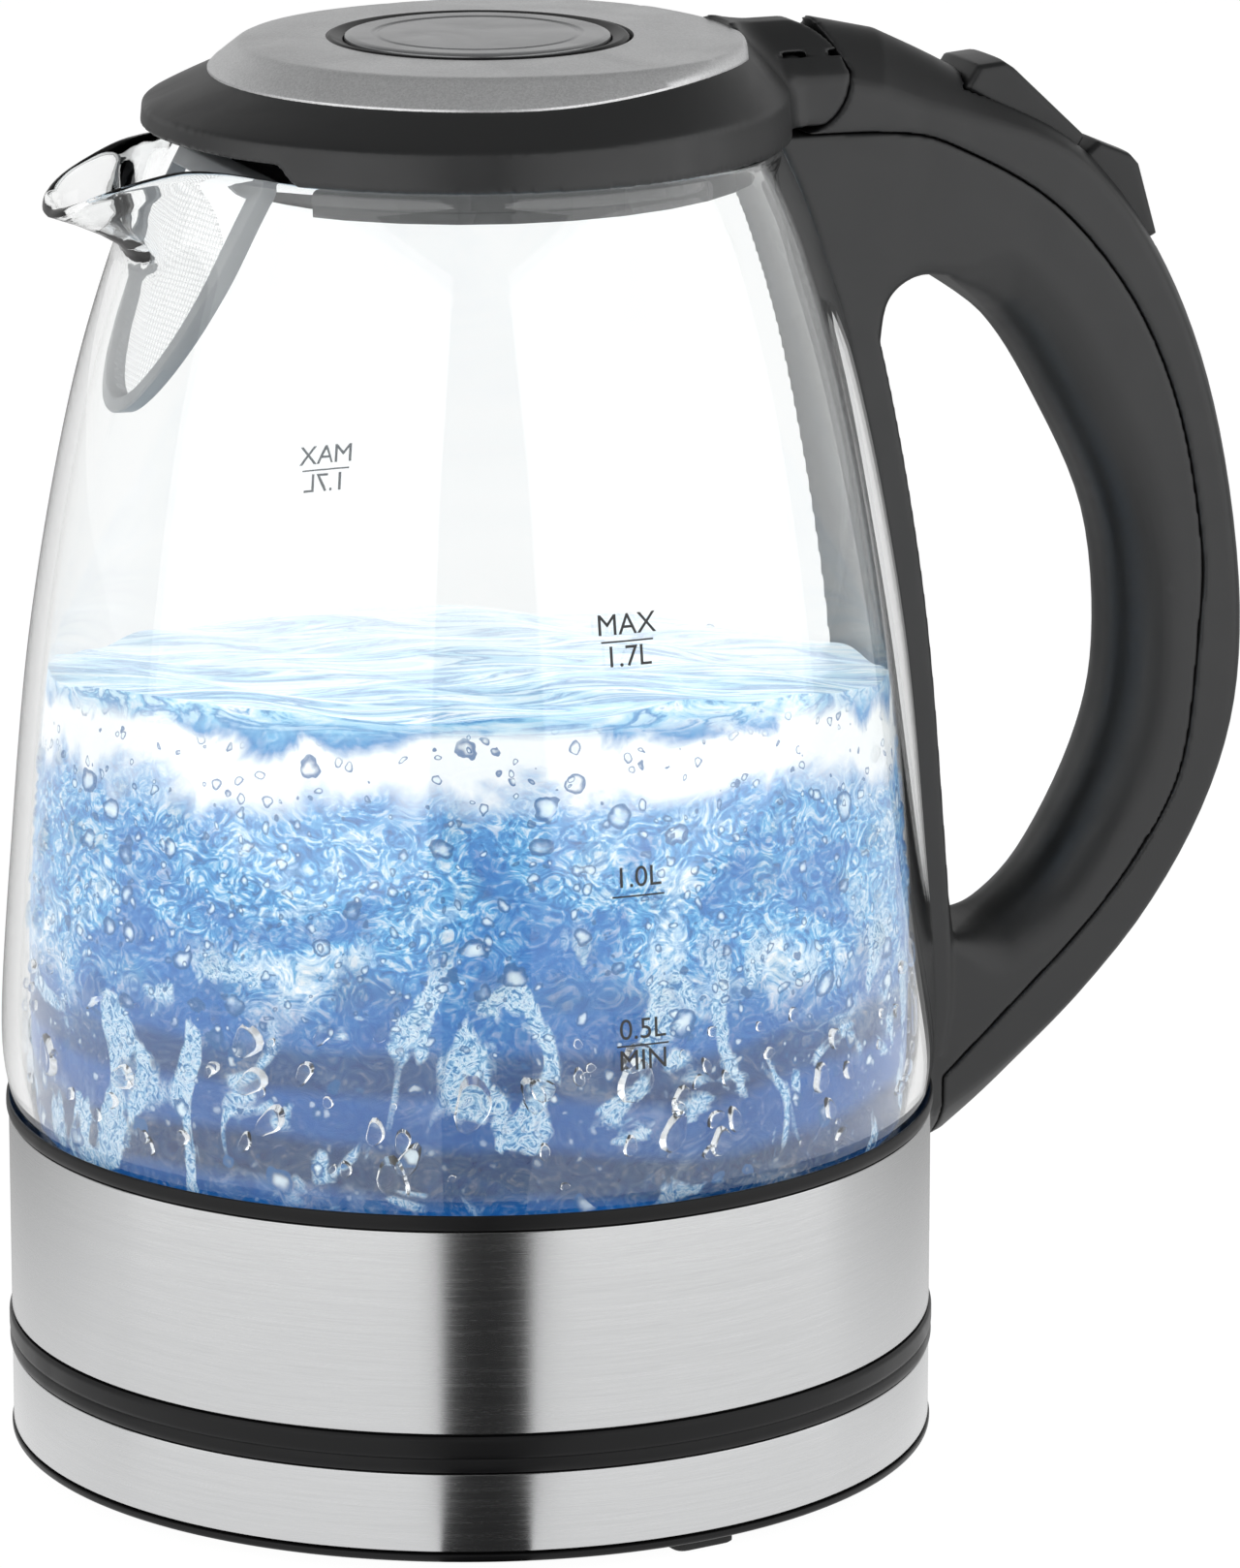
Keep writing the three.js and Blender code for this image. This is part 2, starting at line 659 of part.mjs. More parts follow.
function filterMesh() {
  const count = 28;
  const edge = filterOutline(count, filterBar + gap);
  const middle = [0, rimHeight - filterDepth / 2];
  const positions = [...filterPoint(...middle, 1.2), ...filterPoint(...middle, 1.7)];
  for (const point of edge) positions.push(...filterPoint(...point, 1.2), ...filterPoint(...point, 1.7));
  const index = [];
  for (let i = 0; i < count; i += 1) {
    const [here, next] = [2 + i * 2, 2 + ((i + 1) % count) * 2];
    index.push(0, here, next, 1, next + 1, here + 1);
    index.push(here, here + 1, next + 1, here, next + 1, next);
  }
  const geometry = new THREE.BufferGeometry();
  geometry.setAttribute('position', new THREE.BufferAttribute(new Float32Array(positions), 3));
  geometry.setIndex(index);
  return toSolid(geometry);
}

// ---------------------------------------------------------------- handle
const coverSeam = 0.3;
const cavityInset = 9;                                // hollow of the grip beyond the steel band

// A point of the handle's side view, as shares of its reach beyond the body and of its height.
function handlePoint([reachShare, heightShare]) {
  const x = bodyRadius + reachShare * (handleReach - bodyRadius);
  return [x, handleFootHeight + heightShare * (handleTop - handleFootHeight)];
}

function handleBack() {
  const shares = [
    [-0.08, 0.984], [0.16, 0.945], [0.51, 0.874], [0.76, 0.766], [0.922, 0.626], [1, 0.45],
    [0.94, 0.314], [0.706, 0.181], [0.306, 0.052], [0.122, 0],
  ];
  return [[hingeX + 4.4, handleTop], ...smooth(shares.map(handlePoint), 24)];
}

function seamPath() {
  const shares = [
    [0.092, 0.886], [0.383, 0.831], [0.619, 0.743], [0.766, 0.639], [0.838, 0.521], [0.836, 0.45],
    [0.794, 0.33], [0.6875, 0.258], [0.522, 0.191], [0.284, 0.12], [0.075, 0.06],
  ];
  const start = [[hingeX - 4, rimHeight - 1], [hingeX + 18, rimHeight - 1.8]];
  return smooth([...start, ...shares.map(handlePoint)], 24);
}

// Finger gap: up the strip beside the glass, then down the inside of the grip.
function fingerGap() {
  const strip = [];
  const [low, high] = [98, 184];
  for (let i = 0; i <= 6; i += 1) {
    const height = low + ((high - low) * i) / 6;
    strip.push([glassRadius(height) + spineProud, height]);
  }
  const grip = [
    [0.1, 0.766], [0.27, 0.724], [0.425, 0.65], [0.585, 0.54], [0.622, 0.42], [0.56, 0.33], [0.4, 0.24],
  ];
  const foot = [[0.24, 0.197], [0.12, 0.187]];
  return [...strip, ...smooth([...grip, ...foot].map(handlePoint), 20)];
}

function handleBlock() {
  const back = handleBack();
  const spineX = bodyRadius + spineFootProud;
  const outline = [
    [hingeX - 12, handleTop], ...back,
    [spineX, back[back.length - 1][1] - 0.5], [spineX, spineFootHeight + 3], [spineX - 1.5, spineFootHeight],
    [bodyRadius - 12, spineFootHeight], [hingeX - 12, rimHeight - 25],
  ];
  const shape = new THREE.Shape(outline.reverse().map(([x, z]) => new THREE.Vector2(x, z)));
  shape.holes.push(new THREE.Path(fingerGap().map(([x, z]) => new THREE.Vector2(x, z))));
  const flat = 2 * (handleHalfWidth - handleEdge);
  const options = {
    depth: flat, bevelEnabled: true, bevelThickness: handleEdge, bevelSize: handleEdge * 0.75,
    bevelOffset: -handleEdge * 0.75, bevelSegments: 2,
  };
  const geometry = new THREE.ExtrudeGeometry(shape, options);
  return toSolid(geometry.rotateX(Math.PI / 2).translate(0, flat / 2, 0));
}

function handleCavity() {
  const back = handleBack();
  const outer = sideways(back, handleEdge).filter(([x, z]) => x > hingeX + 14 && z > handleFootHeight + 18);
  const grip = fingerGap().slice(7);
  const inner = sideways(grip, -handleEdge).filter(([x]) => x > bodyRadius + cavityInset);
  const half = handleHalfWidth - plasticWall;
  return acrossY([...outer, ...inner.reverse()], -half, half);
}

function seamSide(outside) {
  const path = seamPath();
  const far = handleReach + 40;
  const [low, high] = [-50, lidTop + 150];
  const half = handleHalfWidth + 25;
  if (outside) {
    const edge = sideways(path, -coverSeam / 2);
    const around = [[edge[edge.length - 1][0], low], [far, low], [far, high]];
    return acrossY([[hingeX - 20, high], ...edge, ...around], -half, half);
  }
  const edge = sideways(path, coverSeam / 2);
  return acrossY([[-20, edge[0][1]], ...edge, [edge[edge.length - 1][0], low], [-20, low]], -half, half);
}

// Everything that the lid's end sweeps as it opens, with its clearance.
function lidSweep() {
  const reach = barrelRadius + gap + 0.2;
  const half = handleHalfWidth + 5;
  const barrel = rodAcrossY(hingeX, hingeZ, reach, -half, half, 40);
  const angle = THREE.MathUtils.degToRad(90 - lidTravel);
  const normal = [Math.cos(angle), Math.sin(angle)];
  const touch = [hingeX + reach * normal[0], hingeZ + reach * normal[1]];
  const far = 40;
  const up = [touch[0] - far * normal[1], touch[1] + far * normal[0]];
  const corners = [[hingeX, hingeZ], touch, up, [hingeX - far, hingeZ + far], [hingeX - far, hingeZ]];
  const wedge = acrossY(corners, -half, half);
  const under = box(hingeX - far, hingeX + 0.8, -half, half, rimHeight - 0.5, handleTop + 30);
  return barrel.add(wedge).add(under);
}

function bandClearance() {
  return disc(ringRadius + gap, -5, collarTop + gap);
}

// Arms that hold the hinge pin, reaching from the handle into slots in the lid's end.
const armOffset = 7;
const armHalf = 1.6;
const armBoss = 3.7;

function hingeArm(side, grow) {
  const arm = [
    [hingeX, hingeZ - 3], [hingeX + 4.5, hingeZ - 6.6], [hingeX + barrelRadius + 6, hingeZ - 6.6],
    [hingeX + barrelRadius + 6, hingeZ - 3.4], [hingeX + 1, hingeZ + 0.8],
  ];
  const [low, high] = [side * armOffset - armHalf - grow, side * armOffset + armHalf + grow];
  return acrossY(arm, low, high).add(rodAcrossY(hingeX, hingeZ, armBoss, low, high, 20));
}

// The slot that the arm needs in the lid while the lid turns.
function armSlot(side) {
  const reach = barrelRadius + 2;
  const grow = gap;
  const [low, high] = [side * armOffset - armHalf - grow, side * armOffset + armHalf + grow];
  const sector = acrossY(
    [[hingeX, hingeZ], ...arc(hingeX, hingeZ, reach, -75, lidTravel + 1, 10)], low, high,
  );
  return sector.add(rodAcrossY(hingeX, hingeZ, armBoss + 2 * gap, low, high, 20));
}

function pinBoreCutter(radius) {
  return rodAcrossY(hingeX, hingeZ, radius, -handleHalfWidth - 5, handleHalfWidth + 5, 16);
}

function handleGrip() {
  let grip = handleBlock().intersect(seamSide(false)).subtract(handleCavity());
  grip = grip.subtract(jugClearance()).subtract(bandClearance()).subtract(lidSweep());
  for (const screw of [0, 1]) grip = grip.subtract(handleScrewHole(screw));
  return grip.subtract(steamDiscSolid(gap)).subtract(switchModuleSolid(gap)).subtract(springPocket());
}

// The release button sits on the crown of the handle, the power switch just behind it.
function crownFrame(distance) {
  const back = handleBack();
  let [index, left] = [0, distance];
  const lengthOf = (i) => Math.hypot(back[i + 1][0] - back[i][0], back[i + 1][1] - back[i][1]);
  while (left > lengthOf(index)) {
    left -= lengthOf(index);
    index += 1;
  }
  const [from, to] = [back[index], back[index + 1]];
  const length = lengthOf(index);
  const tangent = [(to[0] - from[0]) / length, (to[1] - from[1]) / length];
  const origin = [from[0] + tangent[0] * left, from[1] + tangent[1] * left];
  return { origin, tangent, normal: [-tangent[1], tangent[0]] };
}

const buttonLength = 25;
const switchLength = 21;
const buttonSetback = 44.44;                         // along the crown from the lid to the button's middle
const buttonSpacing = 1.66;                          // between the button and the switch
const buttonFrame = crownFrame(buttonSetback);
const switchFrame = crownFrame(buttonSetback + (buttonLength + switchLength) / 2 + buttonSpacing);

function inFrame(frame, points) {
  return points.map(([along, out]) => [
    frame.origin[0] + frame.tangent[0] * along + frame.normal[0] * out,
    frame.origin[1] + frame.tangent[1] * along + frame.normal[1] * out,
  ]);
}

function buttonPocket() {
  const half = buttonLength / 2 + gap;
  const pocket = [[-half, -14], [half, -14], [half, 14], [-half, 14]];
  return acrossY(inFrame(buttonFrame, pocket), -buttonHalfWidth - gap, buttonHalfWidth + gap);
}

function switchPocket() {
  const half = switchLength / 2 + gap + 0.6;
  const pocket = [[-half, -9], [half, -9], [half, 14], [-half, 14]];
  return acrossY(inFrame(switchFrame, pocket), -buttonHalfWidth - gap, buttonHalfWidth + gap);
}

function handleBackCover() {
  let cover = handleBlock().intersect(seamSide(true)).subtract(handleCavity()).subtract(lidSweep());
  cover = cover.subtract(bandClearance()).subtract(jugClearance());
  cover = cover.subtract(buttonPocket()).subtract(switchPocket()).subtract(latchChannel(gap));
  cover = cover.subtract(steamDiscSolid(gap)).subtract(switchModuleSolid(gap)).subtract(springPocket());
  for (const side of [-1, 1]) cover = cover.add(hingeArm(side, 0).subtract(pinBoreCutter(pinRadius + gap)));
  return cover;
}

function lidReleaseButton() {
  const half = buttonLength / 2;
  const profile = [[-half, -4], [half, -4], [half, 1.2], [-half + 6.5, 4.2], [-half + 4, 4.2], [-half, 1]];
  const cap = acrossY(inFrame(buttonFrame, profile), -buttonHalfWidth, buttonHalfWidth);
  const stem = acrossY(inFrame(buttonFrame, [[-2, -7], [2, -7], [2, -3.9], [-2, -3.9]]), -2, 2);
  return cap.add(stem);
}

const switchPivot = [4, -3.5];

function powerSwitch() {
  const half = switchLength / 2;
  const profile = [
    [-half, -2.4], [half - 1, -4], [half, 0.4], [-half + 8.6, 5.2], [-half + 6, 5], [-half, 1.6],
  ];
  const cap = acrossY(inFrame(switchFrame, profile), -buttonHalfWidth, buttonHalfWidth);
  const [x, z] = inFrame(switchFrame, [switchPivot])[0];
  return cap.add(rodAcrossY(x, z, 1.6, -buttonHalfWidth, buttonHalfWidth, 16));
}

const springFoot = -15.6;
const springRadius = 2.2;
const springWire = 0.4;

function springPocket() {
  const half = springRadius + springWire + gap;
  const foot = springFoot - springWire - gap;
  return acrossY(inFrame(buttonFrame, [[-half, foot], [half, foot], [half, -7], [-half, -7]]), -half, half);
}

function buttonSpring() {
  const [x, z] = inFrame(buttonFrame, [[0, springFoot]])[0];
  const points = [];
  for (let i = 0; i <= 30; i += 1) {
    const angle = (i / 10) * Math.PI * 2;
    const [side, ahead, rise] = [springRadius * Math.cos(angle), springRadius * Math.sin(angle), i * 0.16];
    points.push(new THREE.Vector3(
      x + buttonFrame.tangent[0] * ahead + buttonFrame.normal[0] * rise, side,
      z + buttonFrame.tangent[1] * ahead + buttonFrame.normal[1] * rise,
    ));
  }
  return wire(new THREE.CatmullRomCurve3(points), springWire, 30, 2);
}

// The latch slide runs level below the button; its nose waits behind the lid's end.
const latchZ = hingeZ - 5.4;
const latchHalfWidth = 3;
const latchLength = 17.2;

function latchBar(grow) {
  const noseX = hingeX + barrelRadius + gap + 0.6;
  return box(noseX - grow, noseX + latchLength + grow, -latchHalfWidth - grow, latchHalfWidth + grow,
    latchZ - 1.4 - grow, latchZ + 1.4 + grow);
}

function latchChannel(grow) {
  return latchBar(grow).add(latchBar(grow).translate([buttonTravel + 1, 0, 0]));
}

function switchModuleSolid(grow) {
  const [x, z] = inFrame(switchFrame, [[2, -15]])[0];
  return box(x - 5 - grow, x + 5 + grow, -6 - grow, 6 + grow, z - 7 - grow, z + 5 + grow);
}

function steamDiscSolid(grow) {
  const [x, z] = inFrame(switchFrame, [[-10.5, -21]])[0];
  return rodAcrossY(x, z, 5 + grow, -0.5 - grow, 0.5 + grow, 20);
}

function wiringLoom() {
  const shares = [[0.41, 0.155], [0.63, 0.235], [0.79, 0.35], [0.81, 0.47], [0.72, 0.6]];
  const points = shares.map(handlePoint).map(([x, z]) => new THREE.Vector3(x, 0, z));
  return wire(new THREE.CatmullRomCurve3(points), 1.6, 24);
}

function handleScrewPlace(number) {
  return number === 0 ? rimHeight - 8 : handleFootHeight + 31;
}

// A screw along X, or with some growth the hole that it sits in, which runs on to a stated end.
function handleScrewSolid(number, grow, end) {
  const height = handleScrewPlace(number);
  const start = glassRadius(height) + spineProud - 2;
  const [shank, head, shankEnd] = [screwShank + grow, screwHead - 0.2 + grow, start + 8 - grow];
  const screw = turned([
    [0, start], [shank, start], [shank, shankEnd], [head, shankEnd], [head, end], [0, end],
  ], 16);
  return screw.rotate([0, 90, 0]).translate([0, 0, height]);
}

function handleScrew(number) {
  return handleScrewSolid(number, 0, glassRadius(handleScrewPlace(number)) + spineProud + 8);
}

// The access shaft opens into the handle's cavity.
function handleScrewHole(number) {
  return handleScrewSolid(number, gap, bodyRadius + 2 * cavityInset);
}

function hingePin() {
  const half = armOffset + armHalf + 2.5;
  return rodAcrossY(hingeX, hingeZ, pinRadius, -half, half, 16);
}

function lidSpring() {
  const centre = new THREE.Vector3(hingeX, -2.1, hingeZ);
  return coil(centre, 'y', pinRadius + gap + 0.9, 0.4, 1.4, 3);
}

// ---------------------------------------------------------------- lid
const plateEdgeDrop = 4.8;
const lidScrewRing = 30;

function domeHeight(radius) {
  return lidTop - 0.3 - plateEdgeDrop * (radius / plateRadius) ** 2;
}

function domeProfile(drop, outer) {
  const points = [];
  for (let i = 0; i <= 5; i += 1) points.push([(outer * i) / 5, domeHeight((outer * i) / 5) - drop]);
  return points;
}

// The lid's lower edge is raised over the spout, and its liner and seal stop short of it.
function clearOfSpout() {
  const angle = THREE.MathUtils.degToRad(spoutHalfAngle);
  const far = 90;
  const outline = [[0, 0], [-far * Math.cos(angle), far * Math.sin(angle)], [-far * 1.5, 0]];
  outline.push([-far * Math.cos(angle), -far * Math.sin(angle)]);
  const shape = new THREE.Shape(outline.map(([x, y]) => new THREE.Vector2(x, y)));
  const options = { depth: lidSpoutLift + 8, bevelEnabled: false };
  const wedge = toSolid(new THREE.ExtrudeGeometry(shape, options).translate(0, 0, rimHeight - 8));
  return wedge.subtract(disc(skirtRadius - 8, 0, rimHeight + 40, 24));
}

function lidTongue() {
  const foot = rimHeight + lidSeat;
  const outline = [
    [hingeX - 22, domeHeight(hingeX - 22) - plateThick - gap], [hingeX - 14, hingeZ + barrelRadius - 0.4],
    ...arc(hingeX, hingeZ, barrelRadius, 90, -80, 14), [hingeX - 6, foot], [hingeX - 22, foot],
  ];
  return acrossY(outline, -tongueHalfWidth, tongueHalfWidth);
}

function lidShell() {
  const foot = rimHeight + lidSeat;
  const seat = domeHeight(plateRadius) - plateThick - gap;
  const outer = [
    ...domeProfile(plateThick + gap, plateRadius + gap),
    [plateRadius + gap, seat + 1.4], [plateRadius + 1, seat + 1.6],
    [lidRadius - 2, foot + 7], [lidRadius - 0.6, foot + 3], [lidRadius, foot],
  ];
  const inner = [
    [lidRadius - lidWall, foot], [lidRadius - lidWall - 1.6, foot + 6],
    [plateRadius - 2, seat - lidWall + 0.6],
    [0, domeHeight(0) - plateThick - gap - lidWall],
  ];
  const hollow = [[0, foot - 5], [lidRadius - lidWall, foot - 5], ...inner];
  let shell = turned([...outer, ...inner]);
  const tongue = lidTongue().subtract(turned(hollow).intersect(box(-90, hingeX - 8, -50, 50, 0, 400)));
  const linerTop = rimHeight + lidSeat + 2.2 + 2 * gap;
  shell = shell.add(tongue).subtract(jugClearance()).subtract(disc(rimRadius, rimHeight - 2, linerTop));
  for (const side of [-1, 1]) shell = shell.subtract(armSlot(side));
  shell = shell.subtract(pinBoreCutter(pinRadius + gap));
  shell = shell.subtract(rodAcrossY(hingeX, hingeZ, pinRadius + 2.6, -4, 4, 20));
  return shell.subtract(clearOfSpout());
}

function plateOutline() {
  const rear = 38;
  const angle = THREE.MathUtils.radToDeg(Math.acos(rear / plateRadius));
  const front = arc(0, 0, plateRadius, angle, 360 - angle, 40);
  const [tipX, tipY] = front[0];
  const bulge = 6;
  const back = [];
  for (let i = 1; i < 8; i += 1) {
    const share = i / 8;
    back.push([tipX + bulge * Math.sin(Math.PI * share), -tipY + 2 * tipY * share]);
  }
  return [...front, ...back];
}

function lidTopPlate() {
  const edge = plateRadius;
  const sheet = turned([...domeProfile(0, edge), ...domeProfile(plateThick, edge).reverse()]);
  const shape = new THREE.Shape(plateOutline().map(([x, y]) => new THREE.Vector2(x, y)));
  const options = { depth: 60, bevelEnabled: false };
  const outline = toSolid(new THREE.ExtrudeGeometry(shape, options).translate(0, 0, rimHeight));
  const bore = disc(discRingRadius + gap, rimHeight, rimHeight + 40).translate([discOffset, 0, 0]);
  const tongue = lidTongue();
  return sheet.intersect(outline).subtract(bore).subtract(grown(tongue));
}

function grown(solid) {
  return solid.translate([-gap, 0, 0]).add(solid.translate([0, gap, 0])).add(solid.translate([0, -gap, 0]))
    .add(solid.translate([0, 0, gap]));
}

function lidDisc() {
  const foot = domeHeight(0) - plateThick + 0.6;
  return disc(discRadius, foot, lidTop - 0.2, 40).translate([discOffset, 0, 0]);
}

function lidDiscRing() {
  const foot = domeHeight(0) - plateThick + 0.6;
  return turned([
    [discRadius + gap, foot], [discRingRadius, foot], [discRingRadius, lidTop - 0.4],
    [discRingRadius - 1, lidTop], [discRadius + gap, lidTop],
  ], 40).translate([discOffset, 0, 0]);
}

function lidSeal() {
  const foot = rimHeight + lidSeat;
  return ring(skirtRadius + 0.4, rimRadius - 0.4, foot, foot + 1).subtract(clearOfSpout());
}

function lidLiner() {
  const foot = rimHeight - skirtDepth;
  const top = rimHeight + lidSeat + 1 + gap;
  let liner = turned([
    [0, foot], [skirtRadius, foot], [skirtRadius, top], [rimRadius - 1.4, top], [rimRadius - 1.4, top + 1.2],
    [skirtRadius - 1.8, top + 1.2], [skirtRadius - 1.8, foot + 2], [0, foot + 2],
  ]);
  liner = liner.subtract(clearOfSpout());
  for (let i = 0; i < 3; i += 1) {
    const vent = disc(2, foot - 2, foot + 4, 12);          // steam holes
    liner = liner.subtract(vent.translate([24 + 6 * i, 0, 0]));
  }
  for (let i = 0; i < 3; i += 1) {
    const hole = disc(screwShank + gap, foot - 2, foot + 5, 16);
    liner = liner.subtract(placeAround(hole, lidScrewRing, 60 + i * 120));
  }
  return liner;
}

function lidScrew(number) {
  const foot = rimHeight - skirtDepth - 1;
  const screw = turned([
    [0, foot], [screwHead, foot], [screwHead, foot + 0.7], [screwShank, foot + 0.7],
    [screwShank, foot + 12], [0, foot + 12],
  ], 16);
  return placeAround(screw, lidScrewRing, 60 + number * 120);
}

// ---------------------------------------------------------------- the assembly
const finishes = {
  plastic: { color: 0x2b2c2d, roughness: 0.5, metalness: 0 },
  steel: { color: 0xc9cacb, roughness: 0.28, metalness: 1 },
  silver: { color: 0x9fa2a4, roughness: 0.35, metalness: 0.8 },
  glass: { color: 0xe8f2f4, roughness: 0.05, metalness: 0, transparent: true, opacity: 0.35 },
  rubber: { color: 0x1b1b1b, roughness: 0.9, metalness: 0 },
  silicone: { color: 0xd8d8d4, roughness: 0.6, metalness: 0 },
  aluminium: { color: 0xb4b6b8, roughness: 0.4, metalness: 1 },
  brass: { color: 0xb98f45, roughness: 0.35, metalness: 1 },
  filterGrey: { color: 0x8f9294, roughness: 0.5, metalness: 0 },
  board: { color: 0x1c5a34, roughness: 0.6, metalness: 0 },
};

const kettle = new THREE.Group();

function addPart(name, solid, finish) {
  const mesh = new THREE.Mesh(toGeometry(solid), new THREE.MeshStandardMaterial(finishes[finish]));
  mesh.name = name;
  kettle.add(mesh);
}

function addRepeats(name, count, make, finish) {
  for (let i = 0; i < count; i += 1) addPart(`${name}_${i + 1}`, make(i), finish);
}

addPart('base_bottom_cover', baseBottomCover(), 'plastic');
addRepeats('base_foot', footCount, baseFoot, 'rubber');
addRepeats('base_screw', 3, baseScrew, 'steel');
addPart('base_steel_band', baseBand(), 'steel');
addPart('base_tray', baseTray(), 'plastic');
addPart('cord_inlet', cordInlet(), 'rubber');
addPart('socket_housing', socketHousing(), 'plastic');
addPart('socket_line_contact', socketSleeve(pinBore - gap - contactWall, 9), 'brass');
addPart('socket_neutral_contact', socketSleeve(channelInner + gap, 11), 'brass');
addPart('socket_earth_contact', socketSleeve(channelOuter - gap - contactWall, 11), 'brass');
addPart('shutter_spring', shutterSpring(), 'steel');
addPart('connector_shutter', connectorShutter(), 'plastic');

addPart('bottom_skirt', bottomSkirt(), 'plastic');
addRepeats('skirt_screw', 3, skirtScrew, 'steel');
addPart('body_steel_band', bodyBand(), 'steel');
addPart('lower_collar', lowerCollar(), 'plastic');
addPart('glass_jug', glassJug(), 'glass');
addPart('plate_seal', plateSeal(), 'silicone');
addPart('heating_plate', heatingPlate(), 'steel');
addPart('heat_spreader', heatSpreader(), 'aluminium');
addPart('heating_element', heatingElement(), 'aluminium');
addRepeats('boil_dry_disc', 2, boilDryDisc, 'brass');
addRepeats('light_window', 2, lightWindow, 'glass');
addPart('light_board', lightBoard(), 'board');
addPart('control_block', controlBlock(), 'plastic');
addPart('connector_pin', connectorPin(), 'brass');
addPart('connector_ring', connectorRing(), 'brass');
addPart('filter_frame', filterFrame(), 'filterGrey');
addPart('filter_mesh', filterMesh(), 'filterGrey');

addPart('handle_grip', handleGrip(), 'plastic');
addPart('handle_back_cover', handleBackCover(), 'plastic');
addRepeats('handle_screw', 2, handleScrew, 'steel');
addPart('switch_module', switchModuleSolid(0), 'plastic');
addPart('steam_disc', steamDiscSolid(0), 'brass');
addPart('wiring_loom', wiringLoom(), 'rubber');
addPart('hinge_pin', hingePin(), 'steel');
addPart('lid_spring', lidSpring(), 'steel');
addPart('button_spring', buttonSpring(), 'steel');
addPart('lid_release_button', lidReleaseButton(), 'plastic');
addPart('latch_slide', latchBar(0), 'plastic');
addPart('power_switch', powerSwitch(), 'plastic');

addPart('lid_shell', lidShell(), 'plastic');
addPart('lid_top_plate', lidTopPlate(), 'silver');
addPart('lid_disc', lidDisc(), 'silver');
addPart('lid_disc_ring', lidDiscRing(), 'plastic');
addPart('lid_seal', lidSeal(), 'silicone');
addPart('lid_liner', lidLiner(), 'plastic');
addRepeats('lid_screw', 3, lidScrew, 'steel');

export default kettle;
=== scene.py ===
import math
import random

import bmesh
import bpy
import numpy as np
from mathutils import Matrix, Vector


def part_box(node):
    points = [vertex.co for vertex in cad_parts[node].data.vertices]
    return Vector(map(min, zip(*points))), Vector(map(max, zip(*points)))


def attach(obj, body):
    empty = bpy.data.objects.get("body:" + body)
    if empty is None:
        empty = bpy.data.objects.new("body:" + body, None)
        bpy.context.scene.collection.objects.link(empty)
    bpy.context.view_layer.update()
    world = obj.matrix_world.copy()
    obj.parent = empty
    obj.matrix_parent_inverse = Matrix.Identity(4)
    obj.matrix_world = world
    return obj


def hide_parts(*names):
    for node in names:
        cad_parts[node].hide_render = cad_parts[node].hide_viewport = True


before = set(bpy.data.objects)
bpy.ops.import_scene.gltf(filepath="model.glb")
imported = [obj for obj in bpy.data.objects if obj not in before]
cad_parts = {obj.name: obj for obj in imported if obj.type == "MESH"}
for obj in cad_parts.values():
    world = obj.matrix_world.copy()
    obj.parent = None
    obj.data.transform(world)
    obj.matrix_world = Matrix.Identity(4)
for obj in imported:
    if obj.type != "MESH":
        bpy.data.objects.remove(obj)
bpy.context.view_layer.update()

# ---------------------------------------------------------------- sizes, in mm, as the model has them
MM = 0.001


def foot_of(node):
    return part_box(node)[0].z / MM


def top_of(node):
    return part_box(node)[1].z / MM


def radius_of(node):
    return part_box(node)[1].x / MM


GAP = 0.4
GLASS_WALL = 3.0
BODY_RADIUS = radius_of("body_steel_band")
RING_RADIUS = radius_of("lower_collar")
RIM_HEIGHT = 229.0
RIM_RADIUS = 52.6
GLASS_FOOT = foot_of("glass_jug")
PLATE_TOP = top_of("heating_plate")
HANDLE_FOOT = 45.7
HANDLE_TOP = 246.9
HANDLE_HALF = 12.5
LID_RADIUS = radius_of("lid_disc_ring") + 27.5
LID_FOOT = RIM_HEIGHT + GAP
HINGE_X, HINGE_Z = RIM_RADIUS + 4, RIM_HEIGHT + 8.4
BARREL_RADIUS = 8.7
TONGUE_RADIUS = 9.15
DISC_OFFSET = 2.2
LID_TRAVEL = 65
WATER_LEVEL = 138.0
RING_SIDES = 256


# ---------------------------------------------------------------- curves and distances
def spline(points, count):
    """Even Catmull-Rom curve through the points, both ends included."""
    made = []
    last = len(points) - 1
    for i in range(count + 1):
        place = i / count * last
        k = min(int(place), last - 1)
        t = place - k
        p0, p1 = points[max(k - 1, 0)], points[k]
        p2, p3 = points[k + 1], points[min(k + 2, last)]
        made.append(tuple(
            0.5 * (2 * b + (c - a) * t + (2 * a - 5 * b + 4 * c - d) * t * t + (3 * b - a - 3 * c + d) * t ** 3)
            for a, b, c, d in zip(p0, p1, p2, p3)))
    return made


def smooth_step(value):
    t = np.clip(value, 0, 1)
    return t * t * (3 - 2 * t)


def flat_distance(outline, x, z):
    """Signed distance from a closed outline in a plane, positive inside it."""
    nearest = np.full(np.broadcast(x, z).shape, 1e9)
    inside = np.zeros(nearest.shape, bool)
    for (ax, az), (bx, bz) in zip(outline, outline[1:] + outline[:1]):
        ex, ez = bx - ax, bz - az
        length = max(ex * ex + ez * ez, 1e-12)
        t = np.clip(((x - ax) * ex + (z - az) * ez) / length, 0, 1)
        nearest = np.minimum(nearest, np.hypot(x - ax - t * ex, z - az - t * ez))
        if az != bz:
            inside ^= ((az > z) != (bz > z)) & (x < ax + (z - az) * ex / ez)
    return np.where(inside, nearest, -nearest)


def rounded_min(a, b, radius):
    """The smaller of two depths, with the edge where they meet rounded to a radius."""
    u, v = np.maximum(radius - a, 0), np.maximum(radius - b, 0)
    return np.where((u > 0) & (v > 0), radius - np.hypot(u, v), np.minimum(a, b))


def blended_max(a, b, width):
    """The larger of two depths, with the corner between them filled over a width."""
    h = np.clip(0.5 + 0.5 * (a - b) / width, 0, 1)
    return b + (a - b) * h + width * h * (1 - h)


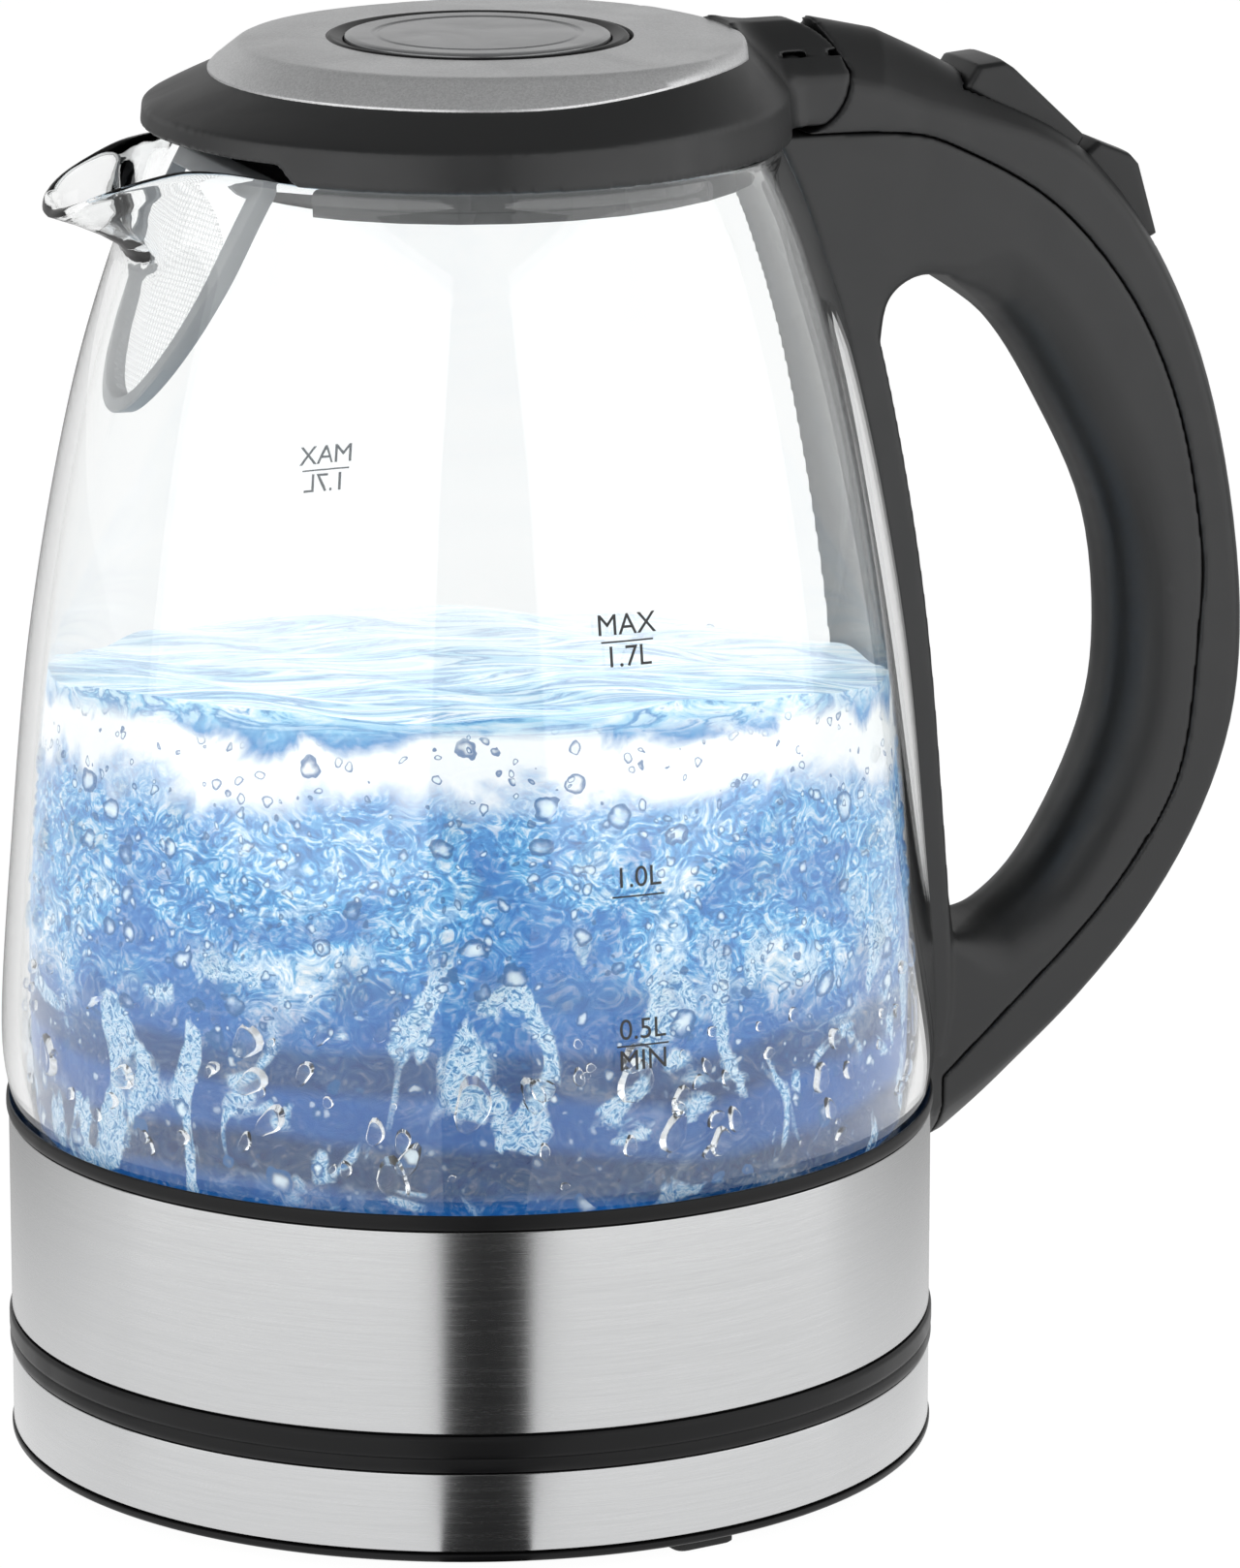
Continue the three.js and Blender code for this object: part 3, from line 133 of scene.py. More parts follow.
# ---------------------------------------------------------------- mesh making
def soften(mesh, sharp=35):
    """Smooth shading, with edges over the sharp angle kept crisp."""
    mesh.shade_smooth()
    if sharp:
        mesh.set_sharp_from_angle(angle=math.radians(sharp))


def coat(mesh, material):
    mesh.materials.clear()
    mesh.materials.append(material)


def loose(name, data):
    made = bpy.data.objects.new(name, data)
    bpy.context.scene.collection.objects.link(made)
    return made


def add_object(name, mesh, body, material, replaces=(), sharp=35):
    soften(mesh, sharp)
    coat(mesh, material)
    made = loose(name, mesh)
    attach(made, body)
    if replaces:
        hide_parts(*replaces)
    return made


def bands(count, rings, first=0):
    """Quads between successive rings of equally many points."""
    return [(first + ring * count + k, first + ring * count + n, first + (ring + 1) * count + n,
             first + (ring + 1) * count + k)
            for ring in range(rings - 1) for k, n in ((k, (k + 1) % count) for k in range(count))]


def new_mesh(name, points, faces):
    mesh = bpy.data.meshes.new(name)
    mesh.from_pydata([(x * MM, y * MM, z * MM) for x, y, z in points], [], faces)
    mesh.validate()
    return mesh


def filleted(profile, steps=5):
    """A closed [radius, height] profile whose points may carry a third value, the fillet radius there."""
    made = []
    for i, point in enumerate(profile):
        here = Vector(point[:2])
        fillet = point[2] if len(point) > 2 else 0
        if not fillet:
            made.append(tuple(here))
            continue
        before, after = Vector(profile[i - 1][:2]), Vector(profile[(i + 1) % len(profile)][:2])
        start = here + (before - here).normalized() * min(fillet, (before - here).length / 2)
        end = here + (after - here).normalized() * min(fillet, (after - here).length / 2)
        for k in range(steps + 1):
            t = k / steps
            made.append(tuple(start * (1 - t) ** 2 + here * 2 * t * (1 - t) + end * t * t))
    return made


def turned(name, profile, sides=RING_SIDES):
    """A solid of revolution about Z from a closed profile; points on the axis become poles."""
    points, faces, rings = [], [], []
    for radius, height in profile:
        if radius < 1e-6:
            rings.append([len(points)] * sides)
            points.append((0, 0, height))
            continue
        rings.append(list(range(len(points), len(points) + sides)))
        for k in range(sides):
            angle = 2 * math.pi * k / sides
            points.append((radius * math.cos(angle), radius * math.sin(angle), height))
    count = len(profile)
    for i in range(count):
        low, high = rings[i], rings[(i + 1) % count]
        for k in range(sides):
            n = (k + 1) % sides
            corners = [low[k], low[n], high[n], high[k]]
            corners = [c for j, c in enumerate(corners) if c != corners[j - 1]]
            if len(corners) > 2:
                faces.append(corners)
    return new_mesh(name, points, faces)


def carved(name, field, low, high, cell):
    """The closed surface round the region where field(x, y, z) is positive, on a grid of cubic cells."""
    axes = [np.arange(a, b + cell, cell, dtype=np.float64) for a, b in zip(low, high)]
    x, y, z = np.meshgrid(*axes, indexing="ij", sparse=True)
    sizes = [len(a) for a in axes]
    value = np.array(np.broadcast_to(field(x, y, z), sizes))
    for k in range(3):
        edge = np.moveaxis(value, k, 0)
        edge[0] = edge[-1] = -cell
    cells = [n - 1 for n in sizes]
    total = np.zeros((3, *cells))
    count = np.zeros(cells)

    def corner(offset):
        return value[tuple(slice(o, o + n) for o, n in zip(offset, cells))]

    for axis in range(3):
        u, v = [k for k in range(3) if k != axis]
        for shift in ((0, 0), (0, 1), (1, 0), (1, 1)):
            start = [0, 0, 0]
            start[u], start[v] = shift
            end = list(start)
            end[axis] = 1
            a, b = corner(start), corner(end)
            crossing = (a > 0) != (b > 0)
            share = np.where(crossing, a / np.where(crossing, a - b, 1), 0)
            for k in range(3):
                total[k] += crossing * (share if k == axis else start[k])
            count += crossing
    used = count > 0
    number = np.full(cells, -1)
    number[used] = np.arange(used.sum())
    where = np.argwhere(used)
    places = np.stack([total[k][used] / count[used] for k in range(3)], 1)
    points = np.array(low) + (where + places) * cell
    faces = []
    for axis in range(3):
        u, v = (axis + 1) % 3, (axis + 2) % 3
        a = np.moveaxis(value, (axis, u, v), (0, 1, 2))
        n = np.moveaxis(number, (axis, u, v), (0, 1, 2))
        lower, upper = a[:-1, 1:-1, 1:-1] > 0, a[1:, 1:-1, 1:-1] > 0
        for wanted, turn in ((lower & ~upper, False), (~lower & upper, True)):
            i, j, k = np.nonzero(wanted)
            quad = np.stack([n[i, j, k], n[i, j + 1, k], n[i, j + 1, k + 1], n[i, j, k + 1]], 1)
            faces.append(quad[:, ::-1] if turn else quad)
    return new_mesh(name, points.tolist(), np.concatenate(faces).tolist())


def cut_by(made, *cutters):
    """Takes each cutter's volume out of an object and removes the cutter."""
    for cutter in cutters:
        tool = made.modifiers.new("cut", "BOOLEAN")
        tool.operation, tool.solver, tool.object = "DIFFERENCE", "EXACT", cutter
    graph = bpy.context.evaluated_depsgraph_get()
    mesh = bpy.data.meshes.new_from_object(made.evaluated_get(graph))
    made.modifiers.clear()
    made.data = mesh
    soften(mesh)
    for cutter in cutters:
        bpy.data.objects.remove(cutter)


def add_turned(name, profile, body, material, node, sides=RING_SIDES, along=0.0):
    """A turned, filleted piece in place of a node, moved along X where its axis isn't the kettle's."""
    mesh = turned(name, filleted(profile), sides)
    if along:
        mesh.transform(Matrix.Translation((along * MM, 0, 0)))
    return add_object(name, mesh, body, material, [node])


def plug(name, centre, axis, radius, length, sides=48):
    """A plain round cutter along an axis."""
    tool = bmesh.new()
    bmesh.ops.create_cone(tool, cap_ends=True, segments=sides, radius1=radius * MM, radius2=radius * MM,
                          depth=length * MM)
    mesh = bpy.data.meshes.new(name)
    tool.to_mesh(mesh)
    tool.free()
    turn = Vector(axis).to_track_quat("Z", "Y").to_matrix().to_4x4()
    mesh.transform(Matrix.Translation(Vector(centre) * MM) @ turn)
    return loose(name, mesh)


# ---------------------------------------------------------------- node helpers
def put(tree, kind, inputs=None, **settings):
    """Adds a node, sets its settings, and sets or links its inputs."""
    made = tree.nodes.new(kind)
    for key, value in settings.items():
        setattr(made, key, value)
    for key, value in (inputs or {}).items():
        if isinstance(value, bpy.types.NodeSocket):
            tree.links.new(value, made.inputs[key])
        else:
            made.inputs[key].default_value = value
    return made


def group(name, inputs, outputs):
    """A shader node group with named inputs (name, kind, default) and outputs (name, kind)."""
    tree = bpy.data.node_groups.new(name, "ShaderNodeTree")
    for label, kind, default in inputs:
        socket = tree.interface.new_socket(name=label, in_out="INPUT", socket_type=kind)
        if default is not None:
            socket.default_value = default
    for label, kind in outputs:
        tree.interface.new_socket(name=label, in_out="OUTPUT", socket_type=kind)
    return tree, tree.nodes.new("NodeGroupInput").outputs, tree.nodes.new("NodeGroupOutput").inputs


FLOAT, VECTOR, COLOR = "NodeSocketFloat", "NodeSocketVector", "NodeSocketColor"


def math_node(tree, operation, a, b=0.0, clamp=False):
    return put(tree, "ShaderNodeMath", {0: a, 1: b}, operation=operation, use_clamp=clamp).outputs[0]


def scaled(tree, value, factor, offset, clamp=False):
    """value * factor + offset"""
    return put(tree, "ShaderNodeMath", {0: value, 1: factor, 2: offset}, operation="MULTIPLY_ADD",
               use_clamp=clamp).outputs[0]


def along_way(tree, place, way):
    """How far a place lies along a direction."""
    return put(tree, "ShaderNodeVectorMath", {0: place, 1: way}, operation="DOT_PRODUCT").outputs["Value"]


def seen_directly(tree):
    """1 for the camera's own rays and those that pass through glass, 0 for reflections."""
    path = tree.nodes.new("ShaderNodeLightPath")
    return math_node(tree, "MAXIMUM", path.outputs["Is Camera Ray"], path.outputs["Is Transmission Ray"])


def ramp(tree, factor, stops):
    """A colour ramp from (place, colour) stops; a colour may be one grey value."""
    made = put(tree, "ShaderNodeValToRGB", {0: factor})
    while len(made.color_ramp.elements) < len(stops):
        made.color_ramp.elements.new(0.5)
    for element, (place, colour) in zip(made.color_ramp.elements, stops):
        element.position = place
        element.color = (colour,) * 3 + (1,) if isinstance(colour, (int, float)) else (*colour, 1)
    return made.outputs[0]


def mix_color(tree, factor, a, b, blend="MIX"):
    made = tree.nodes.new("ShaderNodeMix")
    made.data_type, made.blend_type = "RGBA", blend
    for key, value in ((0, factor), (6, a), (7, b)):
        if isinstance(value, bpy.types.NodeSocket):
            tree.links.new(value, made.inputs[key])
        else:
            made.inputs[key].default_value = value if key == 0 else (*value, 1)
    return made.outputs[2]


def use(tree, made_group, **values):
    """Places a node group; keys are its input names with spaces written as underscores."""
    node = tree.nodes.new("ShaderNodeGroup")
    node.node_tree = made_group
    for key, value in values.items():
        label = key.replace("_", " ")
        if isinstance(value, bpy.types.NodeSocket):
            tree.links.new(value, node.inputs[label])
        else:
            node.inputs[label].default_value = value
    return node.outputs


# ---------------------------------------------------------------- effects that several finishes share
def make_moulded_grain():
    """Fine spark-eroded texture of moulded plastic, with slow changes of tone and gloss."""
    tree, given, out = group(
        "moulded_grain",
        [("Grain Scale", FLOAT, 3500.0), ("Tone", FLOAT, 0.15)],
        [("Height", FLOAT), ("Tone Mask", FLOAT), ("Gloss Mask", FLOAT)])
    place = tree.nodes.new("ShaderNodeTexCoord").outputs["Object"]
    fine = put(tree, "ShaderNodeTexNoise", {"Vector": place, "Scale": given["Grain Scale"], "Detail": 3.0})
    slow = put(tree, "ShaderNodeTexNoise", {"Vector": place, "Scale": 22.0, "Detail": 4.0, "Roughness": 0.6})
    smear = put(tree, "ShaderNodeTexNoise", {"Vector": place, "Scale": 60.0, "Detail": 5.0,
                                             "Distortion": 1.2})
    tree.links.new(fine.outputs["Fac"], out["Height"])
    shift = math_node(tree, "MULTIPLY", math_node(tree, "SUBTRACT", slow.outputs["Fac"], 0.5), given["Tone"])
    tree.links.new(shift, out["Tone Mask"])
    tree.links.new(smear.outputs["Fac"], out["Gloss Mask"])
    return tree


def make_edge_wear():
    """Lighter rubbed edges, from how sharply the surface turns."""
    tree, given, out = group("edge_wear", [("Amount", FLOAT, 0.3)], [("Wear", FLOAT)])
    turn = tree.nodes.new("ShaderNodeNewGeometry").outputs["Pointiness"]
    place = tree.nodes.new("ShaderNodeTexCoord").outputs["Object"]
    patch = put(tree, "ShaderNodeTexNoise", {"Vector": place, "Scale": 180.0, "Detail": 4.0})
    edge = ramp(tree, turn, [(0.5, 0.0), (0.58, 1.0)])
    worn = math_node(tree, "MULTIPLY", edge, patch.outputs["Fac"])
    tree.links.new(math_node(tree, "MULTIPLY", worn, given["Amount"], True), out["Wear"])
    return tree


def make_brushing():
    """Streaks that run round the Z axis, as a belt leaves them on a turned band."""
    tree, given, out = group(
        "round_brushing",
        [("Streak Scale", FLOAT, 1400.0), ("Streak Length", FLOAT, 1.2)],
        [("Streaks", FLOAT), ("Height", FLOAT)])
    place = tree.nodes.new("ShaderNodeTexCoord").outputs["Object"]
    parts = put(tree, "ShaderNodeSeparateXYZ", {0: place}).outputs
    angle = math_node(tree, "ARCTAN2", parts[1], parts[0])
    line = put(tree, "ShaderNodeCombineXYZ", {
        0: math_node(tree, "MULTIPLY", math_node(tree, "COSINE", angle), given["Streak Length"]),
        1: math_node(tree, "MULTIPLY", math_node(tree, "SINE", angle), given["Streak Length"]),
        2: math_node(tree, "MULTIPLY", parts[2], given["Streak Scale"])})
    fine = put(tree, "ShaderNodeTexNoise", {"Vector": line.outputs[0], "Scale": 2.4, "Detail": 6.0,
                                            "Roughness": 0.7})
    broad = put(tree, "ShaderNodeTexNoise", {"Vector": line.outputs[0], "Scale": 0.35, "Detail": 3.0})
    both = math_node(tree, "ADD", math_node(tree, "MULTIPLY", fine.outputs["Fac"], 0.7),
                     math_node(tree, "MULTIPLY", broad.outputs["Fac"], 0.3))
    tree.links.new(ramp(tree, both, [(0.3, 0.0), (0.7, 1.0)]), out["Streaks"])
    tree.links.new(fine.outputs["Fac"], out["Height"])
    return tree


MOULDED_GRAIN = make_moulded_grain()
EDGE_WEAR = make_edge_wear()
ROUND_BRUSHING = make_brushing()


# ---------------------------------------------------------------- finishes
def finish(name):
    """A new material, its node tree and its principled shader."""
    made = bpy.data.materials.new(name)
    made.use_nodes = True
    tree = made.node_tree
    return made, tree, tree.nodes["Principled BSDF"]


def bump(tree, shader, height, strength, distance):
    made = put(tree, "ShaderNodeBump", {"Strength": strength, "Distance": distance, "Height": height})
    tree.links.new(made.outputs[0], shader.inputs["Normal"])


def moulded(name, colour, roughness, spread=0.1, grain=3500.0, depth=0.00003, wear=0.25, gloss=0.4):
    """Moulded plastic or rubber: base colour with tone shifts, rubbed edges, grain and uneven gloss."""
    made, tree, shader = finish(name)
    masks = use(tree, MOULDED_GRAIN, Grain_Scale=grain, Tone=0.35)
    worn = use(tree, EDGE_WEAR, Amount=wear)["Wear"]
    lighter, darker = [min(c * 1.4 + 0.002, 1) for c in colour], [c * 0.75 for c in colour]
    shade = math_node(tree, "ADD", masks["Tone Mask"], 0.5, True)
    base = mix_color(tree, shade, darker, lighter)
    tree.links.new(mix_color(tree, worn, base, [min(c * 2.0 + 0.012, 1) for c in colour]),
                   shader.inputs["Base Color"])
    low, high = roughness - spread / 2, roughness + spread / 2
    tree.links.new(ramp(tree, masks["Gloss Mask"], [(0.3, low), (0.7, high)]), shader.inputs["Roughness"])
    shader.inputs["Specular IOR Level"].default_value = gloss
    bump(tree, shader, masks["Height"], 0.35, depth)
    return made


def brushed_band(name):
    """Steel strip brushed round the body."""
    made, tree, shader = finish(name)
    streaks = use(tree, ROUND_BRUSHING, Streak_Scale=4200.0, Streak_Length=4.0)
    colour = mix_color(tree, streaks["Streaks"], (0.555, 0.56, 0.565), (0.645, 0.65, 0.655))
    tree.links.new(colour, shader.inputs["Base Color"])
    tree.links.new(ramp(tree, streaks["Streaks"], [(0.0, 0.2), (1.0, 0.3)]), shader.inputs["Roughness"])
    shader.inputs["Metallic"].default_value = 1
    shader.inputs["Anisotropic"].default_value = 0.85
    shader.inputs["Anisotropic Rotation"].default_value = 0.25
    tangent = put(tree, "ShaderNodeTangent", direction_type="RADIAL", axis="Z")
    tree.links.new(tangent.outputs[0], shader.inputs["Tangent"])
    bump(tree, shader, streaks["Height"], 0.1, 0.00001)
    return made


def plain_metal(name, colour, roughness, scale=900.0):
    """Machined or pressed metal with small scratches and uneven gloss."""
    made, tree, shader = finish(name)
    masks = use(tree, MOULDED_GRAIN, Grain_Scale=scale, Tone=0.3)
    worn = use(tree, EDGE_WEAR, Amount=0.4)["Wear"]
    shade = math_node(tree, "ADD", masks["Tone Mask"], 0.5, True)
    base = mix_color(tree, shade, [c * 0.8 for c in colour], [min(c * 1.15, 1) for c in colour])
    rubbed = [min(c * 1.4, 1) for c in colour]
    tree.links.new(mix_color(tree, worn, base, rubbed), shader.inputs["Base Color"])
    tree.links.new(ramp(tree, masks["Gloss Mask"], [(0.3, roughness - 0.06), (0.7, roughness + 0.08)]),
                   shader.inputs["Roughness"])
    shader.inputs["Metallic"].default_value = 1
    bump(tree, shader, masks["Height"], 0.2, 0.00002)
    return made


def silver_paint(name, colour, roughness, flake=1.0):
    """Metallic silver lacquer over plastic, with fine flakes."""
    made, tree, shader = finish(name)
    place = tree.nodes.new("ShaderNodeTexCoord").outputs["Object"]
    cells = put(tree, "ShaderNodeTexVoronoi", {"Vector": place, "Scale": 3800.0})
    masks = use(tree, MOULDED_GRAIN, Grain_Scale=2500.0, Tone=0.25)
    flakes = ramp(tree, put(tree, "ShaderNodeSeparateColor", {0: cells.outputs["Color"]}).outputs[0],
                  [(0.0, 0.82), (1.0, 1.0)])
    base = mix_color(tree, flake, colour, flakes, "MULTIPLY")
    tree.links.new(base, shader.inputs["Base Color"])
    tree.links.new(ramp(tree, masks["Gloss Mask"], [(0.3, roughness - 0.04), (0.7, roughness + 0.06)]),
                   shader.inputs["Roughness"])
    shader.inputs["Metallic"].default_value = 0.6
    bump(tree, shader, cells.outputs["Distance"], 0.15, 0.00003)
    return made


def clear_glass(name):
    """Borosilicate glass with a faint smear; lamps reach what stands behind it."""
    made, tree, shader = finish(name)
    masks = use(tree, MOULDED_GRAIN, Grain_Scale=400.0, Tone=0.2)
    tree.links.new(ramp(tree, masks["Gloss Mask"], [(0.35, 0.0), (0.8, 0.02)]), shader.inputs["Roughness"])
    shader.inputs["Base Color"].default_value = (0.985, 0.992, 0.99, 1)
    shader.inputs["Transmission Weight"].default_value = 1
    shader.inputs["IOR"].default_value = 1.47
    clear = put(tree, "ShaderNodeBsdfTransparent", {"Color": (0.93, 0.94, 0.94, 1)})
    path = tree.nodes.new("ShaderNodeLightPath")
    mixed = put(tree, "ShaderNodeMixShader", {0: path.outputs["Is Shadow Ray"], 1: shader.outputs[0],
                                              2: clear.outputs[0]})
    tree.links.new(mixed.outputs[0], tree.nodes["Material Output"].inputs["Surface"])
    return made


SATIN_BLACK = moulded("satin_black_plastic", (0.017, 0.0175, 0.018), 0.4, 0.1, gloss=0.5)
BUTTON_BLACK = moulded("button_black_plastic", (0.014, 0.0145, 0.015), 0.36, 0.08)
INNER_BLACK = moulded("inner_black_plastic", (0.01, 0.01, 0.0105), 0.5, 0.12)
TRIM_BLACK = moulded("trim_black_plastic", (0.006, 0.006, 0.0065), 0.36, 0.1, gloss=0.22)
LINER_GREY = moulded("liner_grey_plastic", (0.045, 0.046, 0.047), 0.3, 0.1)
FILTER_GREY = moulded("filter_grey_plastic", (0.22, 0.23, 0.24), 0.5, 0.1)
RUBBER_BLACK = moulded("foot_rubber", (0.018, 0.018, 0.018), 0.75, 0.15, grain=1800.0, depth=0.00008)
SILICONE = moulded("seal_silicone", (0.55, 0.55, 0.53), 0.5, 0.1, wear=0.0)
BOARD_GREEN = moulded("lamp_board", (0.015, 0.09, 0.03), 0.45, 0.1)
BAND_STEEL = brushed_band("brushed_band_steel")
SCREW_STEEL = plain_metal("screw_steel", (0.55, 0.55, 0.56), 0.3)
PLATE_STEEL = plain_metal("heating_plate_steel", (0.5, 0.5, 0.51), 0.28, 500.0)
ALUMINIUM = plain_metal("cast_aluminium", (0.6, 0.61, 0.62), 0.42, 300.0)
BRASS = plain_metal("contact_brass", (0.62, 0.42, 0.15), 0.3)
PLATE_SILVER = silver_paint("lid_silver_lacquer", (0.78, 0.785, 0.79), 0.34)
DISC_SILVER = silver_paint("disc_silver_lacquer", (0.34, 0.345, 0.35), 0.22, 0.5)
JUG_GLASS = clear_glass("jug_glass")


# ---------------------------------------------------------------- camera, light and floor
VIEW_SIDE = Vector((0.928, -0.373, 0))
VIEW_DEPTH = Vector((0.373, 0.928, 0))
# A dark wedge is painted into the floor's glow between the soft boxes; only the reflections show it, as a painted
# dark reflection.
PAINTED_WEDGE_START, PAINTED_WEDGE_LEFT, PAINTED_WEDGE_RIGHT = 0.0395, -0.098, 0.286


def make_camera():
    data = bpy.data.cameras.new("camera")
    data.sensor_width, data.lens = 36, 204.29
    data.clip_start, data.clip_end = 0.1, 20
    camera = loose("camera", data)
    camera.location = (-0.5317, -1.3925, 0.4899)
    look = Vector((0.36185, 0.89996, -0.24315))
    camera.rotation_euler = look.to_track_quat("-Z", "Y").to_euler()
    bpy.context.scene.camera = camera


def soft_box(name, azimuth, distance, height, width, tall, power, aim=0.12):
    """An upright area lamp that faces the kettle; azimuth 0 is on the -Y side, 90 on the +X side."""
    data = bpy.data.lights.new(name, "AREA")
    data.shape, data.size, data.size_y, data.energy = "RECTANGLE", width, tall, power
    lamp = loose(name, data)
    angle = math.radians(azimuth)
    lamp.location = (distance * math.sin(angle), -distance * math.cos(angle), height)
    lamp.rotation_euler = (Vector((0, 0, aim)) - lamp.location).to_track_quat("-Z", "Y").to_euler()
    lamp.visible_camera = False


def make_light():
    """Two wide soft boxes with a dark gap between them, under a pale ceiling and before a white backdrop."""
    soft_box("left_soft_box", -70, 1.1, 0.36, 1.9, 1.3, 9.5)
    soft_box("right_soft_box", 38, 1.1, 0.36, 1.9, 1.3, 9.5)
    world = bpy.data.worlds.new("studio")
    bpy.context.scene.world = world
    world.use_nodes = True
    tree = world.node_tree
    back = tree.nodes["Background"]
    way = tree.nodes.new("ShaderNodeTexCoord").outputs["Generated"]
    rise = put(tree, "ShaderNodeSeparateXYZ", {0: way}).outputs[2]
    deep = along_way(tree, way, VIEW_DEPTH)
    front = ramp(tree, rise, [(0.4, 0.04), (0.85, 0.2)])
    rear = ramp(tree, rise, [(0.3, 0.65), (0.7, 0.2)])
    ceiling = mix_color(tree, ramp(tree, deep, [(0.0, 0.0), (0.25, 1.0)]), front, rear)
    seen = seen_directly(tree)
    tree.links.new(mix_color(tree, seen, ceiling, (1.0, 1.0, 1.0)), back.inputs["Color"])
    bpy.context.scene.view_settings.view_transform = "Standard"


def make_floor():
    size, steps = 3.0, 24
    points = [(-size + 2 * size * i / steps, -size + 2 * size * j / steps, 0)
              for j in range(steps + 1) for i in range(steps + 1)]
    row = steps + 1
    faces = [(j * row + i, j * row + i + 1, (j + 1) * row + i + 1, (j + 1) * row + i)
             for j in range(steps) for i in range(steps)]
    mesh = bpy.data.meshes.new("floor")
    mesh.from_pydata(points, [], faces)
    made, tree, shader = finish("pale_floor")
    place = tree.nodes.new("ShaderNodeTexCoord").outputs["Object"]
    mottle = put(tree, "ShaderNodeTexNoise", {"Vector": place, "Scale": 3.0, "Detail": 2.0})
    shader.inputs["Roughness"].default_value = 0.9
    shader.inputs["Specular IOR Level"].default_value = 0.1
    shader.inputs["Emission Color"].default_value = (1, 1, 1, 1)
    shader.inputs["Emission Strength"].default_value = 0.97
    tree.links.new(mix_color(tree, mottle.outputs["Fac"], (0.1, 0.1, 0.1), (0.12, 0.12, 0.12)),
                   shader.inputs["Base Color"])
    # Reflections see a painted glow instead of the floor, brighter toward the camera, with the dark wedge painted
    # into it.
    forward, aside = along_way(tree, place, -VIEW_DEPTH), along_way(tree, place, VIEW_SIDE)
    ahead = math_node(tree, "MAXIMUM", math_node(tree, "SUBTRACT", forward, PAINTED_WEDGE_START), 0.001)
    slope = math_node(tree, "DIVIDE", aside, ahead)
    painted_dark_wedge = math_node(tree, "MULTIPLY", math_node(tree, "GREATER_THAN", slope, PAINTED_WEDGE_LEFT),
                     math_node(tree, "LESS_THAN", slope, PAINTED_WEDGE_RIGHT))
    painted_dark_wedge = math_node(tree, "MULTIPLY", painted_dark_wedge, math_node(tree, "GREATER_THAN", forward, PAINTED_WEDGE_START))
    fall = ramp(tree, scaled(tree, forward, 2.0, 0.5, True), [(0.0, 0.35), (0.55, 1.0)])
    lit = mix_color(tree, painted_dark_wedge, fall, (0.02, 0.02, 0.02))
    reflected_glow = put(tree, "ShaderNodeEmission", {"Color": lit, "Strength": 1.0})
    seen = seen_directly(tree)
    mixed = put(tree, "ShaderNodeMixShader", {0: seen, 1: reflected_glow.outputs[0], 2: shader.outputs[0]})
    tree.links.new(mixed.outputs[0], tree.nodes["Material Output"].inputs["Surface"])
    mesh.materials.append(made)
    loose("floor", mesh)


make_camera()
make_light()
make_floor()


# ---------------------------------------------------------------- power base
BAND_WALL, LINER_RADIUS, SOCKET_RADIUS = 0.6, 76.7, 16.4


def add_band(name, node, body):
    """Thin steel strip round the body, its edges turned a little."""
    low, high = foot_of(node), top_of(node)
    return add_turned(name, [(BODY_RADIUS - BAND_WALL, low), (BODY_RADIUS, low, 0.25), (BODY_RADIUS, high, 0.25),
                             (BODY_RADIUS - BAND_WALL, high)], body, BAND_STEEL, node)


def make_base():
    body = "power_base"
    cover_foot, cover_top = foot_of("base_bottom_cover") + 1, 3.7
    cover = add_turned("base_cover", [
        (0, 1.0), (12, 1.0, 0.3), (13, cover_foot, 0.3), (RING_RADIUS - 1.6, cover_foot, 0.2),
        (RING_RADIUS - 0.2, cover_foot + 0.5, 0.6), (RING_RADIUS - 0.2, cover_top, 0.3), (76, cover_top),
        (76, cover_top - 0.4), (0, cover_top - 0.4)], body, TRIM_BLACK, "base_bottom_cover")
    screw_ring, screw_angles = 58, [math.radians(30 + 120 * i) for i in range(3)]
    cut_by(cover, *[plug("hole", (screw_ring * math.cos(a), screw_ring * math.sin(a), 2), (0, 0, 1), 3.6, 2.4)
                    for a in screw_angles])
    band = add_band("base_band", "base_steel_band", body)
    inlet = math.radians(69)
    low, high = foot_of("base_steel_band"), top_of("base_steel_band")
    way = (math.cos(inlet), math.sin(inlet), 0)
    cut_by(band, plug("inlet", (BODY_RADIUS * way[0], BODY_RADIUS * way[1], (low + high) / 2), way, 4.6, 20))
    rim_foot, rim_top = high + 0.3, top_of("base_tray")
    seat = rim_top - 2
    add_turned("seat_tray", [
        (SOCKET_RADIUS, seat - 1.8), (BODY_RADIUS - 1.2, seat - 1.8), (BODY_RADIUS - 1.2, rim_foot),
        (RING_RADIUS - 0.3, rim_foot, 0.3), (RING_RADIUS, rim_foot + 0.9, 0.5),
        (RING_RADIUS - 0.3, rim_top, 0.8), (RING_RADIUS - 3.2, rim_top, 0.5), (RING_RADIUS - 4.4, seat, 0.5),
        (SOCKET_RADIUS, seat, 0.3)], body, TRIM_BLACK, "base_tray")
    for i in range(3):
        make_foot(f"foot_pad_{i + 1}", f"base_foot_{i + 1}", body)


def make_foot(name, node, body):
    """Rubber pad with rounded corners and slightly drawn-in top and bottom edges."""
    low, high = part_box(node)
    middle = (low + high) / 2
    outline = filleted([(x, y, 2) for x, y in ((-4, -5.75), (4, -5.75), (4, 5.75), (-4, 5.75))])
    levels = ((0.94, 0.0), (1.0, 0.25), (1.0, 1.7), (0.97, 1.95))
    points = [(x * scale, y * scale, height) for scale, height in levels for x, y in outline]
    count, last = len(outline), len(levels) - 1
    faces = bands(count, len(levels))
    faces.append(tuple(range(count))[::-1])
    faces.append(tuple(range(last * count, (last + 1) * count)))
    mesh = new_mesh(name, points, faces)
    turn = Matrix.Rotation(math.atan2(middle.y, middle.x), 4, "Z")
    mesh.transform(Matrix.Translation((middle.x, middle.y, 0)) @ turn)
    add_object(name, mesh, body, RUBBER_BLACK, [node])


